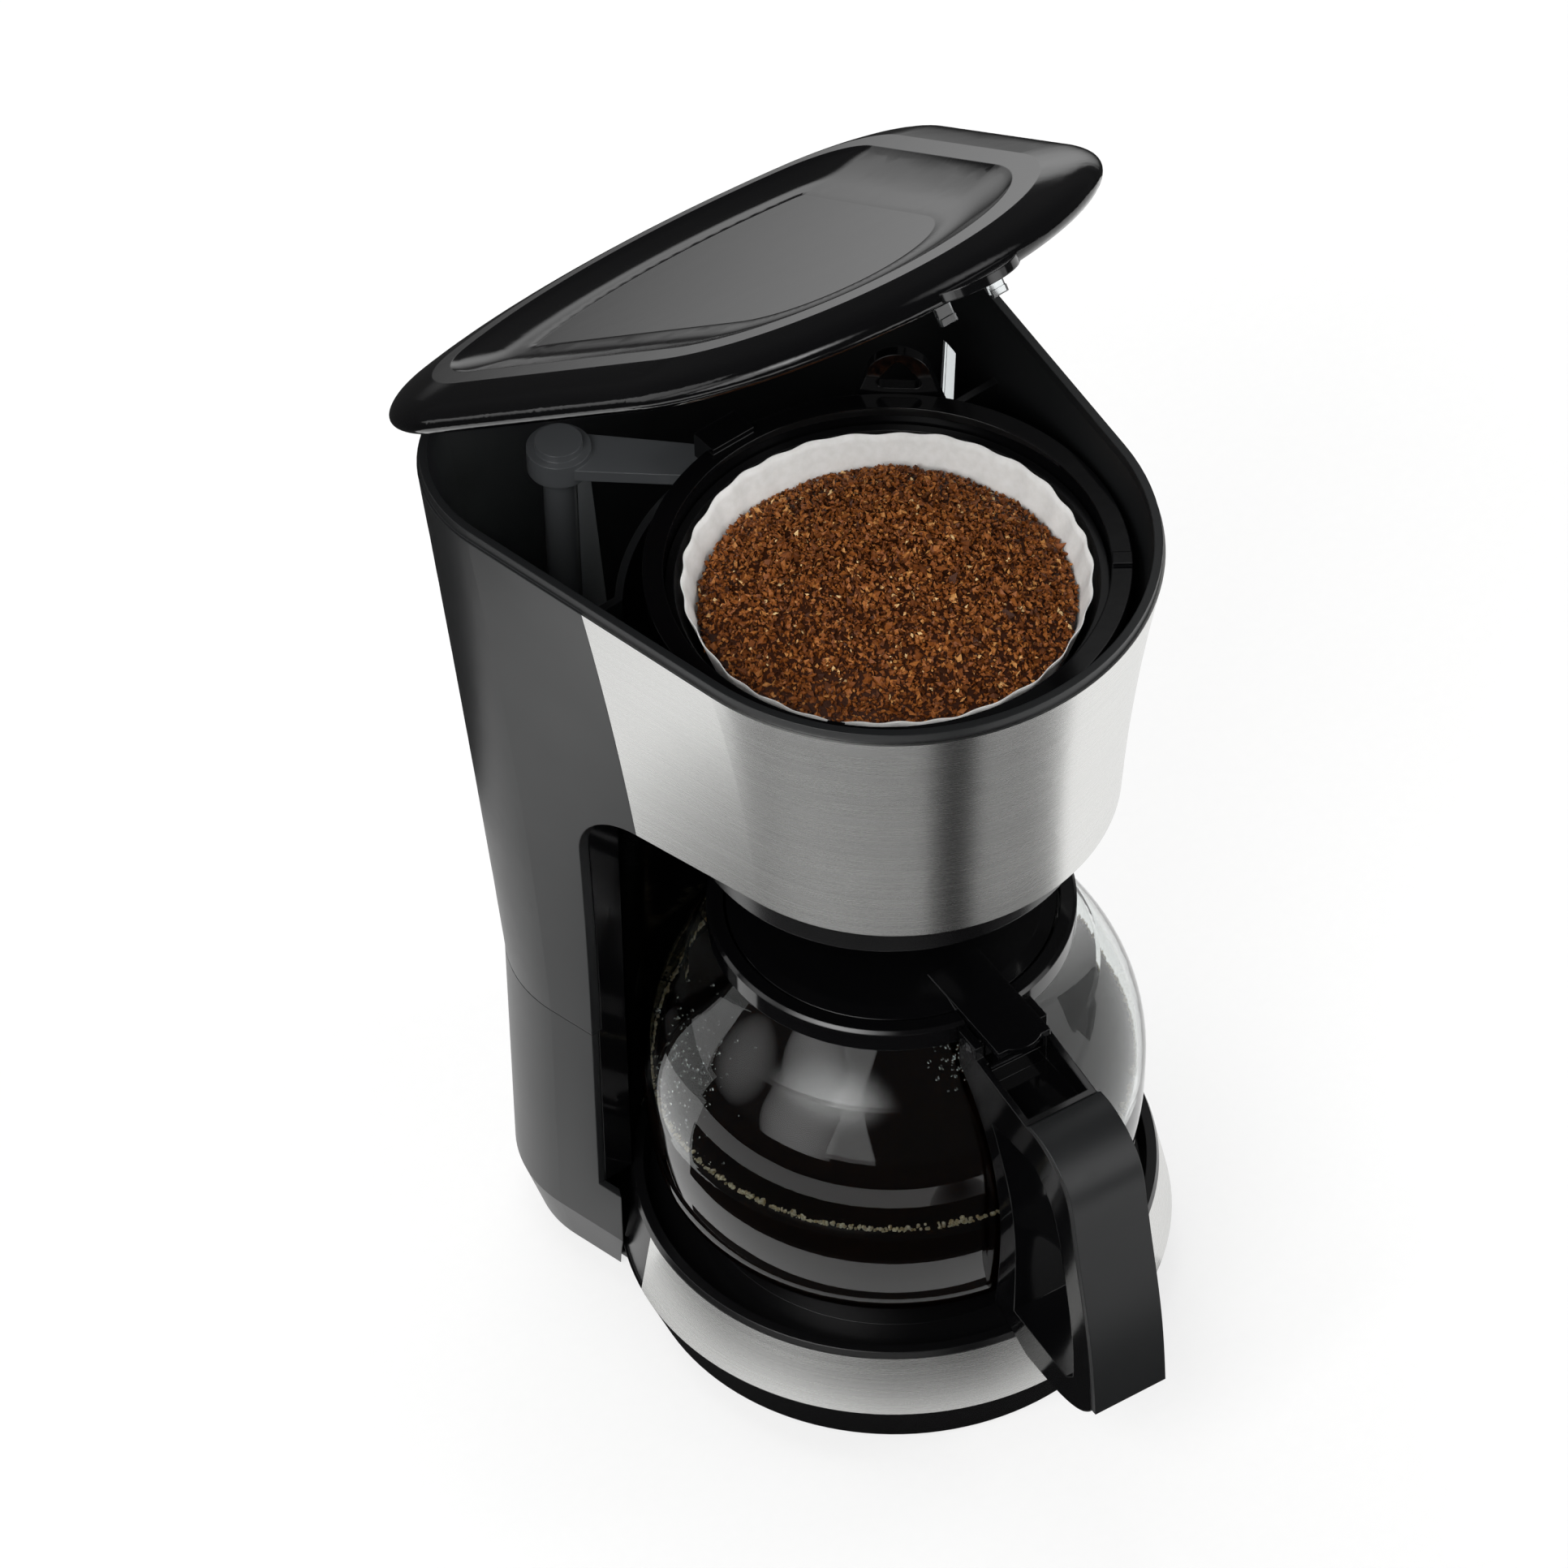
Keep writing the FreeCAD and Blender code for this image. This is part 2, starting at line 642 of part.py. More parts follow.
def bent_path(points, share=0.45):
    """Straight runs joined by tangent arcs, each as large as its two runs allow."""
    spots = [Vector(*p) for p in points]
    edges, last = [], spots[0]
    for before, spot, after in zip(spots, spots[1:], spots[2:]):
        back, on = (before - spot), (after - spot)
        trim = share * min(back.Length, on.Length)
        half = back.getAngle(on) / 2
        back.normalize()
        on.normalize()
        first, second = spot + back * trim, spot + on * trim
        radius = trim * math.tan(half)
        middle_way = (back + on).normalize()
        middle = spot + middle_way * (radius / math.sin(half) - radius)
        edges.append(Part.LineSegment(last, first).toShape())
        edges.append(Part.Arc(first, middle, second).toShape())
        last = second
    edges.append(Part.LineSegment(last, spots[-1]).toShape())
    return Part.Wire(edges)


def hose(points, radius, bore):
    """A round hose along a bent path."""
    path = bent_path(points)
    start = Vector(*points[0])
    way = Vector(*points[1]) - start
    solids = []
    for size in (radius, bore):
        ring = Part.Wire([Part.makeCircle(size, start, way)])
        solids.append(path.makePipeShell([ring], True, False))
    return solids[0].cut(solids[1])


VALVE = (30.0, 101.0)
TANK_FLOOR = SIZE.tank_floor_z


def build_hoses():
    """The rubber hoses from tank to heater and from heater to riser."""
    radius, bore = SIZE.hose_radius.value, SIZE.water_radius.value + SIZE.seat_gap.value
    (left_x, left_y), (right_x, right_y) = [
        (x.value, y.value) for x, y in leg_spots(SIZE.water_ring)]
    top = HOSE_Z + 16
    valve_low = TANK_FLOOR.value - 26
    cold = [(right_x, right_y, top), (right_x, right_y, HOSE_Z), (26, 96, HOSE_Z),
            (VALVE[0], VALVE[1], 48), (VALVE[0], VALVE[1], valve_low)]
    node(feature("cold_hose", hose(cold, radius, bore)), "cold_hose")
    x, y = SIZE.riser_x.value, SIZE.riser_y.value
    hot = [(left_x, left_y, top), (left_x, left_y, HOSE_Z), (-28, 94, HOSE_Z),
           (x, y - 8, 48), (x, y, 84), (x, y, TANK_FLOOR.value - 8)]
    node(feature("riser_hose", hose(hot, radius, bore)), "riser_hose")


# ---- Housings -----------------------------------------------------------------

COLUMN_LOW = LIP_CLEAR = SIZE.lip_z + SIZE.gap
WALL_RADIUS = SIZE.bay_radius + SIZE.bay_wall + SIZE.seat_gap
WEB_Y = SIZE.bay_front_y + SIZE.bay_wall + SIZE.seat_gap
STEP_Z = SIZE.panel_z - 3.5           # the tank's front wall steps in here


def side_post(radius, depth, x, y, z):
    """A round post or hole that runs in from the right-hand side."""
    return Part.makeCylinder(radius, depth, Vector(x, y, z), Vector(-1, 0, 0))


def build_lower_housing():
    """The column's lower shell, which stands round the back of the base drum."""
    wall, seam = SIZE.wall.value, SIZE.seam_z.value - 0.3
    low, column = SIZE.foot_height.value, COLUMN_LOW.value
    shell = lower_solid(0).cut(lower_solid(wall))
    shell = shell.cut(bay_space(column))
    drum = tall(0, column, (SIZE.ring_radius + SIZE.gap).value)
    shell = shell.cut(drum).cut(slab((-WIDE, WIDE), (-WIDE, 26), (0, column)))
    front = bay_wall(column, seam, WALL_RADIUS.value, wall, WEB_Y.value)
    front = front.common(lower_solid(wall - 0.2))
    shell = shell.fuse(front).common(slab((-WIDE, WIDE), (-WIDE, WIDE), (low, seam)))
    for x, y in SCREW_SPOTS[2:]:
        post = Part.makeCylinder(4.5, 22, Vector(x, y, COVER_TOP.value + 0.05))
        arm = slab(sorted((x, math.copysign(79.5, x))), (y - 1.2, y + 1.2),
                   (COVER_TOP.value + 0.05, COVER_TOP.value + 18))
        shell = shell.fuse([post, arm.common(lower_solid(wall - 0.2))])
        shell = shell.cut(Part.makeCylinder(1.5, 14, Vector(x, y, COVER_TOP.value)))
    opening = slab((70, 90), (SWITCH_LOW[0].value, SWITCH_HIGH[0].value),
                   (SWITCH_LOW[1].value, SWITCH_HIGH[1].value))
    shell = shell.cut(opening)
    inlet = Part.makeCylinder(INLET_SEAT.value, 20, Vector(
        SIZE.inlet_x.value, SIZE.seam_rear.value - 14, SIZE.inlet_z.value), Vector(0, 1, 0))
    shell = shell.cut(inlet)
    node(feature("lower_housing", shell.removeSplitter()), "lower_housing")


SWITCH_LOW = (SIZE.switch_y - SIZE.switch_wide / 2, SIZE.switch_z - SIZE.switch_high / 2)
SWITCH_HIGH = (SIZE.switch_y + SIZE.switch_wide / 2, SIZE.switch_z + SIZE.switch_high / 2)
INLET_SEAT = SIZE.inlet_bore + 3.0
ROCKER_TILT = 7.0                    # degrees each side of level


def band_space(thick, spare=0.0):
    """What a band of this thickness fills on the outside of the head."""
    low, high = SIZE.panel_z.value - spare, SIZE.rim_z.value + spare
    end = SIZE.head_band_end_y.value + spare
    lean = math.tan(math.radians(-4.0))
    middle = (low + high) / 2
    profile = [(-WIDE, low), (end + (low - middle) * -lean - 1.0, low),
               (end + (high - middle) * -lean + 1.0, high), (-WIDE, high), (-WIDE, low)]
    face = Part.Face(Part.makePolygon([Vector(-WIDE, y, z) for y, z in profile]))
    region = face.extrude(Vector(2 * WIDE, 0, 0))
    return upper_solid(0).cut(upper_solid(thick)).common(region)


def build_head_band():
    """The brushed steel band round the head."""
    node(feature("head_band", band_space(SIZE.head_band_thick.value)), "head_band")


def build_upper_housing():
    """The upper shell: outer wall, tank walls and floor, lid ears and level slot."""
    wall, seam = SIZE.wall.value, SIZE.seam_z.value
    inner = upper_solid(wall + SIZE.head_band_thick.value + 0.1, 5.0)
    shell = upper_solid(0).cut(inner)
    shell = shell.cut(bay_space(seam - 1))
    shell = shell.cut(band_space(BAND_SEAT.value, 0.05))
    room = upper_solid(wall + 0.5)
    step, floor = STEP_Z.value, TANK_FLOOR.value
    front = bay_wall(seam, step, WALL_RADIUS.value, wall, WEB_Y.value)
    high = SIZE.outlet_z.value - 4.0
    near = SIZE.partition_radius.value
    screen = bay_wall(step, high, near, wall, WEB_Y.value)
    shelf = tall(step - wall, wall, WALL_RADIUS.value + wall).cut(tall(step - wall, wall, near))
    shelf = shelf.common(slab((-WIDE, WIDE), (WEB_Y.value, WIDE), (0, step)))
    base = tall(floor, wall, WIDE).cut(tall(floor, wall, WALL_RADIUS.value + wall / 2))
    base = base.common(slab((-WIDE, WIDE), (WEB_Y.value, WIDE), (floor, floor + wall)))
    inside = front.fuse([screen, shelf, base]).common(room)
    shell = shell.fuse(inside)
    shell = shell.cut(lid_sweep()).fuse(lid_ears())
    shell = shell.cut(Part.makeCylinder(SIZE.pin_radius.value + SIZE.pin_gap.value,
                                        2 * WIDE, HINGE - Vector(WIDE, 0, 0),
                                        Vector(1, 0, 0)))
    riser = Part.makeCylinder(SIZE.water_radius.value + SIZE.seat_gap.value, 6, Vector(
        SIZE.riser_x.value, SIZE.riser_y.value, floor - 2))
    drain = Part.makeCylinder(6.0, 6, Vector(VALVE[0], VALVE[1], floor - 2))
    shell = shell.cut([riser, drain, window_slot(0.0)])
    node(feature("upper_housing", shell.removeSplitter()), "upper_housing")


HINGE = Vector(0, SIZE.hinge_y.value, SIZE.hinge_z.value)
EAR_X = 34.0
EAR_THICK = 4.0


def lid_ears():
    """The two ears that carry the lid's pin, standing up from the rear wall."""
    ears = []
    for side in (-1, 1):
        x = sorted((side * EAR_X, side * (EAR_X + EAR_THICK)))
        web = slab(x, (HINGE.y - 3.0, HINGE.y + 2.0), (HINGE.z - 24, HINGE.z))
        knuckle = Part.makeCylinder(3.0, EAR_THICK, Vector(x[0], HINGE.y, HINGE.z),
                                    Vector(1, 0, 0))
        ears += [web, knuckle]
    return ears


def lid_sweep():
    """The hollow in the rear rim that the lid's rear edge turns into as it opens."""
    reach = 14.0
    return Part.makeCylinder(reach, 2 * 68, HINGE - Vector(68, 0, 0), Vector(1, 0, 0))


def window_slot(clear):
    """The upright slot in the right-hand wall for the water-level window."""
    low, high = TANK_FLOOR.value + 12, 271.0
    half = 3.5 - clear
    return slab((60, 110), (77 - half, 77 + half), (low + clear, high - clear))


def build_column_trim():
    """The glossy bay liner, level window, gauge strip and joining screws."""
    low, high = COLUMN_LOW.value, (STEP_Z - SIZE.wall - SIZE.seat_gap).value
    near, thick = SIZE.bay_radius.value, SIZE.bay_wall.value
    front = SIZE.bay_front_y.value
    liner = bay_wall(low, high, near, thick, front)
    wall = SIZE.wall.value + 0.2
    keep = lower_solid(wall).fuse(upper_solid(wall + SIZE.head_band_thick.value + 0.1))
    keep = keep.common(slab((-WIDE, WIDE), (front, WIDE), (low, high)))
    node(feature("bay_liner", liner.common(keep)), "bay_liner")
    pane = upper_solid(0.3).cut(upper_solid(SIZE.wall.value)).common(window_slot(0.05))
    node(feature("level_window", pane), "level_window")
    strip = slab((-23, -9), (60, WIDE), (TANK_FLOOR.value + 3, 242.0))
    outer, inner = SIZE.wall.value + 1.0, SIZE.wall.value + 2.2
    strip = strip.common(upper_solid(outer).cut(upper_solid(inner)))
    strip = strip.common(slab((-WIDE, WIDE), (95, WIDE), (0, 300)))
    node(feature("gauge_strip", strip), "gauge_strip")


# ---- Tank fittings ------------------------------------------------------------

def build_tank_fittings():
    """Drain strainer, check valve and ball, riser pipe and the outlet arm."""
    x, y = VALVE
    floor = TANK_FLOOR
    stem = rod("valve_stem", SIZE.water_radius, 24, x, y, floor - 34)
    flange = rod("valve_flange", 8.5, 1.6, x, y, floor - 1.65)
    barrel = rod("valve_barrel", 5.9, 14, x, y, floor - 12)
    bore = rod("valve_bore", 2.2, 60, x, y, floor - 40)
    room = rod("valve_room", 4.4, 12, x, y, floor - 9)
    node(cut("check_valve", fuse("valve_blank", stem, flange, barrel),
             group("valve_bores", bore, room)), "check_valve")
    ball = bind(DOC.addObject("Part::Sphere", "valve_ball"), Radius=3.0)
    node(place(ball, x, y, floor - 6.2), "valve_ball")
    cap = rod("strainer_cap", 8.5, 7, x, y, floor + SIZE.wall + 0.05)
    hollow = rod("strainer_hollow", 7.3, 5.8, x, y, floor + SIZE.wall)
    slots = [turn(block(f"strainer_slot{i}", 20, 1.4, 3.6, 0, 0, 0), (0, 0, 1), 45 * i)
             for i in range(4)]
    for i, slot in enumerate(slots):
        angle = math.radians(45 * i)
        place(slot, x - 10 * math.cos(angle) + 0.7 * math.sin(angle),
              y - 10 * math.sin(angle) - 0.7 * math.cos(angle), floor + SIZE.wall + 1.5)
    node(cut("tank_strainer", cap, hollow, *slots), "tank_strainer")
    pipe = rod("riser_blank", SIZE.water_radius, SIZE.outlet_z - floor + 18,
               SIZE.riser_x, SIZE.riser_y, floor - 20)
    bore = rod("riser_bore", SIZE.water_bore, 400, SIZE.riser_x, SIZE.riser_y, 60)
    collar = rod("riser_collar", 8.0, 3, SIZE.riser_x, SIZE.riser_y, floor + SIZE.wall + 0.05)
    node(cut("riser_pipe", fuse("riser_solid", pipe, collar), bore), "riser_pipe")
    build_outlet_arm()


ARM_TIP = (-8.0, 72.0)


def build_outlet_arm():
    """The flat arm that carries hot water from the riser's boss over the basket."""
    x, y, z = SIZE.riser_x.value, SIZE.riser_y.value, SIZE.outlet_z.value
    way = Vector(ARM_TIP[0] - x, ARM_TIP[1] - y, 0)
    length, thick = way.Length, 4.0
    across = Vector(-way.y, way.x, 0).normalize() * 8.0
    start = Vector(x, y, z - 1)
    corners = [start - across, start - across * 0.8 + way, start + across * 0.8 + way,
               start + across]
    plate = Part.Face(Part.makePolygon(corners + corners[:1])).extrude(Vector(0, 0, thick))
    boss = Part.makeCylinder(9.5, 8, Vector(x, y, z - 3))
    cap = Part.makeCylinder(7.0, 2.5, Vector(x, y, z + 5))
    arm = plate.fuse([boss, cap])
    seat = Part.makeCylinder(SIZE.water_radius.value + SIZE.seat_gap.value, 3.0,
                             Vector(x, y, z - 3.01))
    channel = Part.makeCylinder(1.6, length, Vector(x, y, z + 1), way)
    arm = arm.cut([seat, channel])
    node(feature("outlet_arm", arm), "outlet_arm")


# ---- Basket -------------------------------------------------------------------

def build_funnel():
    """The head's underside, a shallow bowl with a hole for the carrier's nozzle."""
    high = SIZE.panel_z.value - 0.1
    inset = SIZE.wall.value + SIZE.head_band_thick.value + 0.2
    plate = Part.Face(egg("mid", high - 2.4, inset)).extrude(Vector(0, 0, 2.4))
    near = SIZE.partition_radius.value - 0.3
    region = tall(high - 3, 4, near).fuse(
        slab((-WIDE, WIDE), (-WIDE, SIZE.bay_front_y.value - 0.1), (high - 3, high + 1)))
    plate = plate.common(region)
    low, radius = SIZE.funnel_low_z.value, SIZE.funnel_low_radius.value
    top_radius = (SIZE.mid_front - 4.0).value
    outer = Part.makeCone(radius, top_radius, high - low - 2.4, Vector(0, 0, low))
    inner = Part.makeCone(radius - 2.4, top_radius - 2.4, high - low, Vector(0, 0, low + 2.4))
    hole = tall(low - 1, 6, 24.0)
    bowl = outer.fuse(plate).cut(tall(high - 2.5, 3, top_radius - 2.4)).cut([inner, hole])
    node(feature("funnel_bottom", bowl.removeSplitter()), "funnel_bottom")


LOOP_ANGLE = 48.0                    # where the loop stands beside the ring, from +X
LOOP_REACH = SIZE.carrier_radius + SIZE.seat_gap + SIZE.loop_thick / 2


def build_carrier():
    """The funnel that holds the basket: ring, cone and nozzle, with its rear clip."""
    ring, top = SIZE.carrier_radius, SIZE.carrier_top_z
    seat_z = SIZE.basket_rim_z - 2.2 - SIZE.gap
    low = SIZE.panel_z
    cone_low = SIZE.mid_front - 8.8
    body = turned("carrier_cone", [
        (ring, top), (ring, top - 5), (SIZE.carrier_bore + 2.2, seat_z - 3),
        (SIZE.carrier_bore - 0.4, seat_z - 6), (cone_low, low), (22.0, 203.5), (SIZE.nozzle_radius, 201.5),
        (SIZE.nozzle_radius, SIZE.nozzle_z), (4.5, SIZE.nozzle_z),
        (4.5, SIZE.nozzle_z + 3), (6.2, SIZE.nozzle_z + 3), (6.2, 205.5),
        (20.0, 207.5), (cone_low - 2.4, low + 3.5), (SIZE.carrier_bore - 2.5, seat_z),
        (SIZE.carrier_bore, seat_z), (SIZE.carrier_bore, top),
    ])
    clip = block("rear_clip", 15, 9, 9, -3, 71, top - 7)
    bore = rod("clip_room", SIZE.carrier_bore, 30, 0, 0, top - 10)
    clip = cut("clip_trimmed", clip, bore)
    tabs = [block(f"carrier_tab{i}", 5, 5.8, 6, 0, 0, top - 6) for i in range(2)]
    for tab, angle in zip(tabs, (-38.0, -142.0)):
        turn(tab, (0, 0, 1), angle + 90)
        spot = math.radians(angle)
        reach = ring.value
        place(tab, reach * math.cos(spot) - 2.5 * math.cos(spot + math.pi / 2),
              reach * math.sin(spot) - 2.5 * math.sin(spot + math.pi / 2), top - 5)
    node(fuse("basket_carrier", body, clip, *tabs), "basket_carrier")
    high, thick = SIZE.loop_height.value, SIZE.loop_thick.value
    foot, neck = Vector(SIZE.loop_foot.value, 0, 0), Vector(9.5, 0, high - 8.5)

    def left(p):
        return Vector(-p.x, p.y, p.z)

    edges = [Part.LineSegment(left(foot), foot), Part.LineSegment(foot, neck),
             Part.Arc(neck, Vector(0, 0, high), left(neck)),
             Part.LineSegment(left(neck), left(foot))]
    loop = Part.Face(Part.Wire([edge.toShape() for edge in edges]))
    loop = loop.extrude(Vector(0, thick, 0))
    loop.translate(Vector(0, -thick / 2, 0))
    hole = Part.makePolygon([Vector(-8.5, -thick, 8.5), Vector(8.5, -thick, 8.5),
                             Vector(0, -thick, high - 2), Vector(-8.5, -thick, 8.5)])
    hole = Part.Face(hole).extrude(Vector(0, 2 * thick, 0))
    hole = hole.makeFillet(2.0, [e for e in hole.Edges if abs(e.tangentAt(0).y) > 0.9])
    loop = loop.cut(hole)
    made = feature("basket_loop", loop)
    reach, angle = LOOP_REACH.value, LOOP_ANGLE
    spot = Vector(reach * math.cos(math.radians(angle)), reach * math.sin(math.radians(angle)),
                  top.value - 6.5)
    made.Placement = Placement(spot, Rotation(Vector(0, 0, 1), angle - 90))
    node(made, "basket_loop")


def build_basket():
    """Filter basket, paper filter and the coffee in it."""
    rim, low = SIZE.basket_rim_z, SIZE.basket_low_z
    radius, foot = SIZE.basket_radius, SIZE.basket_low_radius
    body = turned("basket_cup", [
        (0, low), (foot, low), (radius - 3.2, rim - 2.2), (radius, rim - 2.2), (radius, rim),
        (radius - 2.6, rim), (foot - 1.4, low + 1.8), (0, low + 1.8),
    ])
    drains = []
    for ring, count in ((10, 6), (20, 10), (30, 14)):
        for i in range(count):
            angle = 2 * math.pi * i / count
            drains.append(rod(f"drain{ring}_{i}", 1.8, 4, ring * math.cos(angle),
                              ring * math.sin(angle), low - 1))
    node(cut("filter_basket", body, *drains), "filter_basket")
    paper = SIZE.filter_thick
    base = low + 1.8 + SIZE.gap
    foot = SIZE.filter_low_radius
    slope_in = radius - 4.2
    node(turned("paper_filter", [
        (0, base), (foot, base), (slope_in, rim + 1.5), (slope_in - paper, rim + 1.5),
        (foot - paper, base + paper), (0, base + paper),
    ]), "paper_filter")
    bed = base + paper + SIZE.gap
    edge = slope_in - paper - 2.7
    rise = SIZE.grounds_rise
    dome = (edge * edge + rise * rise) / (rise * 2)
    node(turned("ground_coffee", [
        (0, bed), (foot - paper - 1.0, bed), (edge, rim - 5), Bow(0, rim - 5 + rise, -dome),
    ]), "ground_coffee")


def spring(radius, wire, turns, low, high):
    """A coil spring on the axis, from low to high."""
    pitch = (high - low) / turns
    helix = Part.makeHelix(pitch, high - low, radius)
    ring = Part.Wire([Part.makeCircle(wire, Vector(radius, 0, 0), Vector(0, 1, 0))])
    coil = Part.Wire(helix.Edges).makePipeShell([ring], True, True)
    coil.translate(Vector(0, 0, low))
    return coil


def build_drip_stop():
    """The sprung plunger that shuts the nozzle when the carafe is taken away."""
    lip = SIZE.nozzle_z + 3
    top = SIZE.nozzle_z + 33
    seal = 0.8
    disc = lip + SIZE.gap + seal
    node(turned("drip_plunger", [
        (0, SIZE.nozzle_z - 5), (SIZE.plunger_radius, SIZE.nozzle_z - 5),
        (SIZE.plunger_radius, disc), (5.4, disc), (5.4, disc + 1.8), (1.6, disc + 1.8),
        (1.6, top), (0, top),
    ]), "drip_plunger")
    node(turned("drip_seal", [
        (SIZE.plunger_radius + 0.05, disc - seal), (5.6, disc - seal), (5.6, disc - 0.05),
        (SIZE.plunger_radius + 0.05, disc - 0.05),
    ]), "drip_seal")
    guide_z = 204.0
    guide = turned("guide_blank", [
        (1.6 + SIZE.pin_gap, guide_z - 3), (6.1, guide_z - 3), (6.1, guide_z),
        (1.6 + SIZE.pin_gap, guide_z),
    ])
    ways = []
    for i in range(4):
        angle = math.pi / 2 * i
        ways.append(rod(f"guide_way{i}", 1.1, 6, 4 * math.cos(angle), 4 * math.sin(angle),
                        guide_z - 4))
    node(cut("plunger_guide", guide, *ways), "plunger_guide")
    low = disc.value + 1.8 + 0.5
    node(feature("drip_spring", spring(3.9, 0.35, 5, low + 0.1, guide_z - 3.6)), "drip_spring")


# ---- Lid ----------------------------------------------------------------------

LID_LOW = LIP_Z + SIZE.gap
LID_DISH = 4.0                       # how deep the dish on top is
LID_CROWN = 20.0                     # from the lid's widest line in to its crown
DISH_BACK = 2.5                      # how far the dish stands to the rear


def lid_form(inset, low, high, dish):
    """The lid's filled form: a slim rounded edge and, on top, a wide dish."""
    over = SIZE.lid_overhang.value
    z0, thick = LID_LOW.value, SIZE.lid_thick.value
    levels = [(0.0, 2.6), (0.12, 1.0), (0.32, 0.0), (0.55, 1.4), (0.75, 5.0), (0.9, 11.0),
              (1.0, LID_CROWN)]
    form = loft([("rim", z0 + share * thick, drawn - over + inset) for share, drawn in levels])
    form = form.common(slab((-WIDE, WIDE), (-WIDE, WIDE), (low, high)))
    if dish:
        form = form.cut(lid_dish(dish))
    return form


def lid_dish(sink, lower=0.0):
    """The hollow in the lid's top, as deep as sink: the lid's own outline, drawn in.

    It stands a little to the rear, and with lower it is moved down by that much.
    """
    top = (LID_LOW + SIZE.lid_thick).value
    edge = LID_CROWN - SIZE.lid_overhang.value
    shares = [(-0.5, 0.5), (0.0, 3.0), (0.3, 6.5), (0.65, 13.0), (0.9, 21.0), (1.0, 28.0)]
    hollow = loft([("rim", top - share * sink, edge + drawn) for share, drawn in shares])
    hollow.translate(Vector(0, DISH_BACK, -lower))
    return hollow


def open_lid(made):
    """Turns a lid piece from its closed place to where the lid stands."""
    made.Placement = Placement(Vector(), Rotation(Vector(-1, 0, 0), SIZE.lid_open.value),
                               HINGE).multiply(made.Placement)
    return made


def build_lid():
    """The lid's glossy cover and its flat lining."""
    wall, low = SIZE.lid_wall.value, LID_LOW.value
    top = low + SIZE.lid_thick.value
    cover = lid_form(0, low, top, LID_DISH)
    room = lid_form(wall + 0.6, low - 1, top - wall, 0).cut(lid_dish(LID_DISH, wall))
    room = room.fuse(loft([("rim", low - 1, wall + 1.4), ("rim", low + 2, wall + 1.4)], True))
    cover = cover.cut(room)
    for side in (-1, 1):
        ear = sorted((side * (EAR_X - 0.6), side * (EAR_X + EAR_THICK + 0.6)))
        post = sorted((side * (EAR_X - 0.6), side * (EAR_X + EAR_THICK + 5.2)))
        cover = cover.cut([
            slab(ear, (HINGE.y - 6, WIDE), (low - 1, HINGE.z + 3.5)),
            slab(post, (HINGE.y - 9, HINGE.y + 3.6), (low - 1, HINGE.z + 3.3))])
    node(open_lid(feature("lid_cover", cover)), "lid_cover")
    liner = loft([("rim", low + 0.3, 6.2), ("rim", low + 2.1, 6.2)], True)
    behind = slab((-70, 70), (HINGE.y - 15, WIDE), (low - 1, low + 4))
    front = SIZE.egg_y.value - SIZE.rim_front.value
    hooks = slab((-13, 13), (-WIDE, front + 7.8), (low - 1, low + 4))
    reach = LOOP_REACH.value
    spot = math.radians(LOOP_ANGLE)
    loop_room = Part.makeCylinder(SIZE.loop_foot.value + 5.0, 6, Vector(
        reach * math.cos(spot), reach * math.sin(spot), low - 1))
    liner = liner.cut([behind, hooks, loop_room])
    posts = []
    for side in (-1, 1):
        x = sorted((side * (EAR_X + EAR_THICK + 0.6), side * (EAR_X + EAR_THICK + 4.6)))
        arm = slab(x, (HINGE.y - 16, HINGE.y), (low + 0.3, low + 2.6))
        knuckle = Part.makeCylinder(2.8, 4, Vector(x[0], HINGE.y, HINGE.z), Vector(1, 0, 0))
        web = slab(x, (HINGE.y - 7, HINGE.y), (low + 1, HINGE.z + 1.2))
        posts += [arm, knuckle, web]
    spout = Part.makeCylinder(22, 5, Vector(0, 0, low - 4.5))
    spout = spout.cut(Part.makeCylinder(20, 4, Vector(0, 0, low - 4.6)))
    liner = liner.fuse(posts + [spout])
    bore = Part.makeCylinder(SIZE.pin_radius.value + SIZE.seat_gap.value / 2, 2 * WIDE,
                             HINGE - Vector(WIDE, 0, 0), Vector(1, 0, 0))
    node(open_lid(feature("lid_liner", liner.cut(bore))), "lid_liner")
    pin = Part.makeCylinder(SIZE.pin_radius.value, 2 * SIZE.pin_half.value,
                            HINGE - Vector(SIZE.pin_half.value, 0, 0), Vector(1, 0, 0))
    node(open_lid(feature("hinge_pin", pin)), "hinge_pin")
    build_lid_front()


def build_lid_front():
    """The finger tab and the two snap hooks under the lid's front edge."""
    low = LID_LOW.value
    front = SIZE.egg_y.value - SIZE.rim_front.value
    tab = Part.makeCylinder(15, 2.8, Vector(0, front + 3.0, low + 1.2))
    tab = tab.common(slab((-15, 15), (-WIDE, front - 3.4), (0, WIDE * 2)))
    tab = tab.cut(lid_form(-0.1, low, low + SIZE.lid_thick.value, 0))
    node(open_lid(feature("lid_tab", tab)), "lid_tab")
    hooks = []
    wall = SIZE.lid_wall.value
    room = lid_form(wall + 0.64, low, low + SIZE.lid_thick.value - wall, 0)
    for x in (-9.0, 9.0):
        y = front + 5.7
        stem = slab((x - 2.5, x + 2.5), (y, y + 1.6), (low, WIDE * 2)).common(room)
        stem = stem.fuse(slab((x - 2.5, x + 2.5), (y, y + 1.6), (low - 7, low + 0.5)))
        nose = slab((x - 2.5, x + 2.5), (y - 0.6, y + 0.1), (low - 7, low - 5))
        hooks.append(stem.fuse(nose))
    node(open_lid(feature("lid_hooks", Part.makeCompound(hooks))), "lid_hooks")


# ---- Carafe -------------------------------------------------------------------

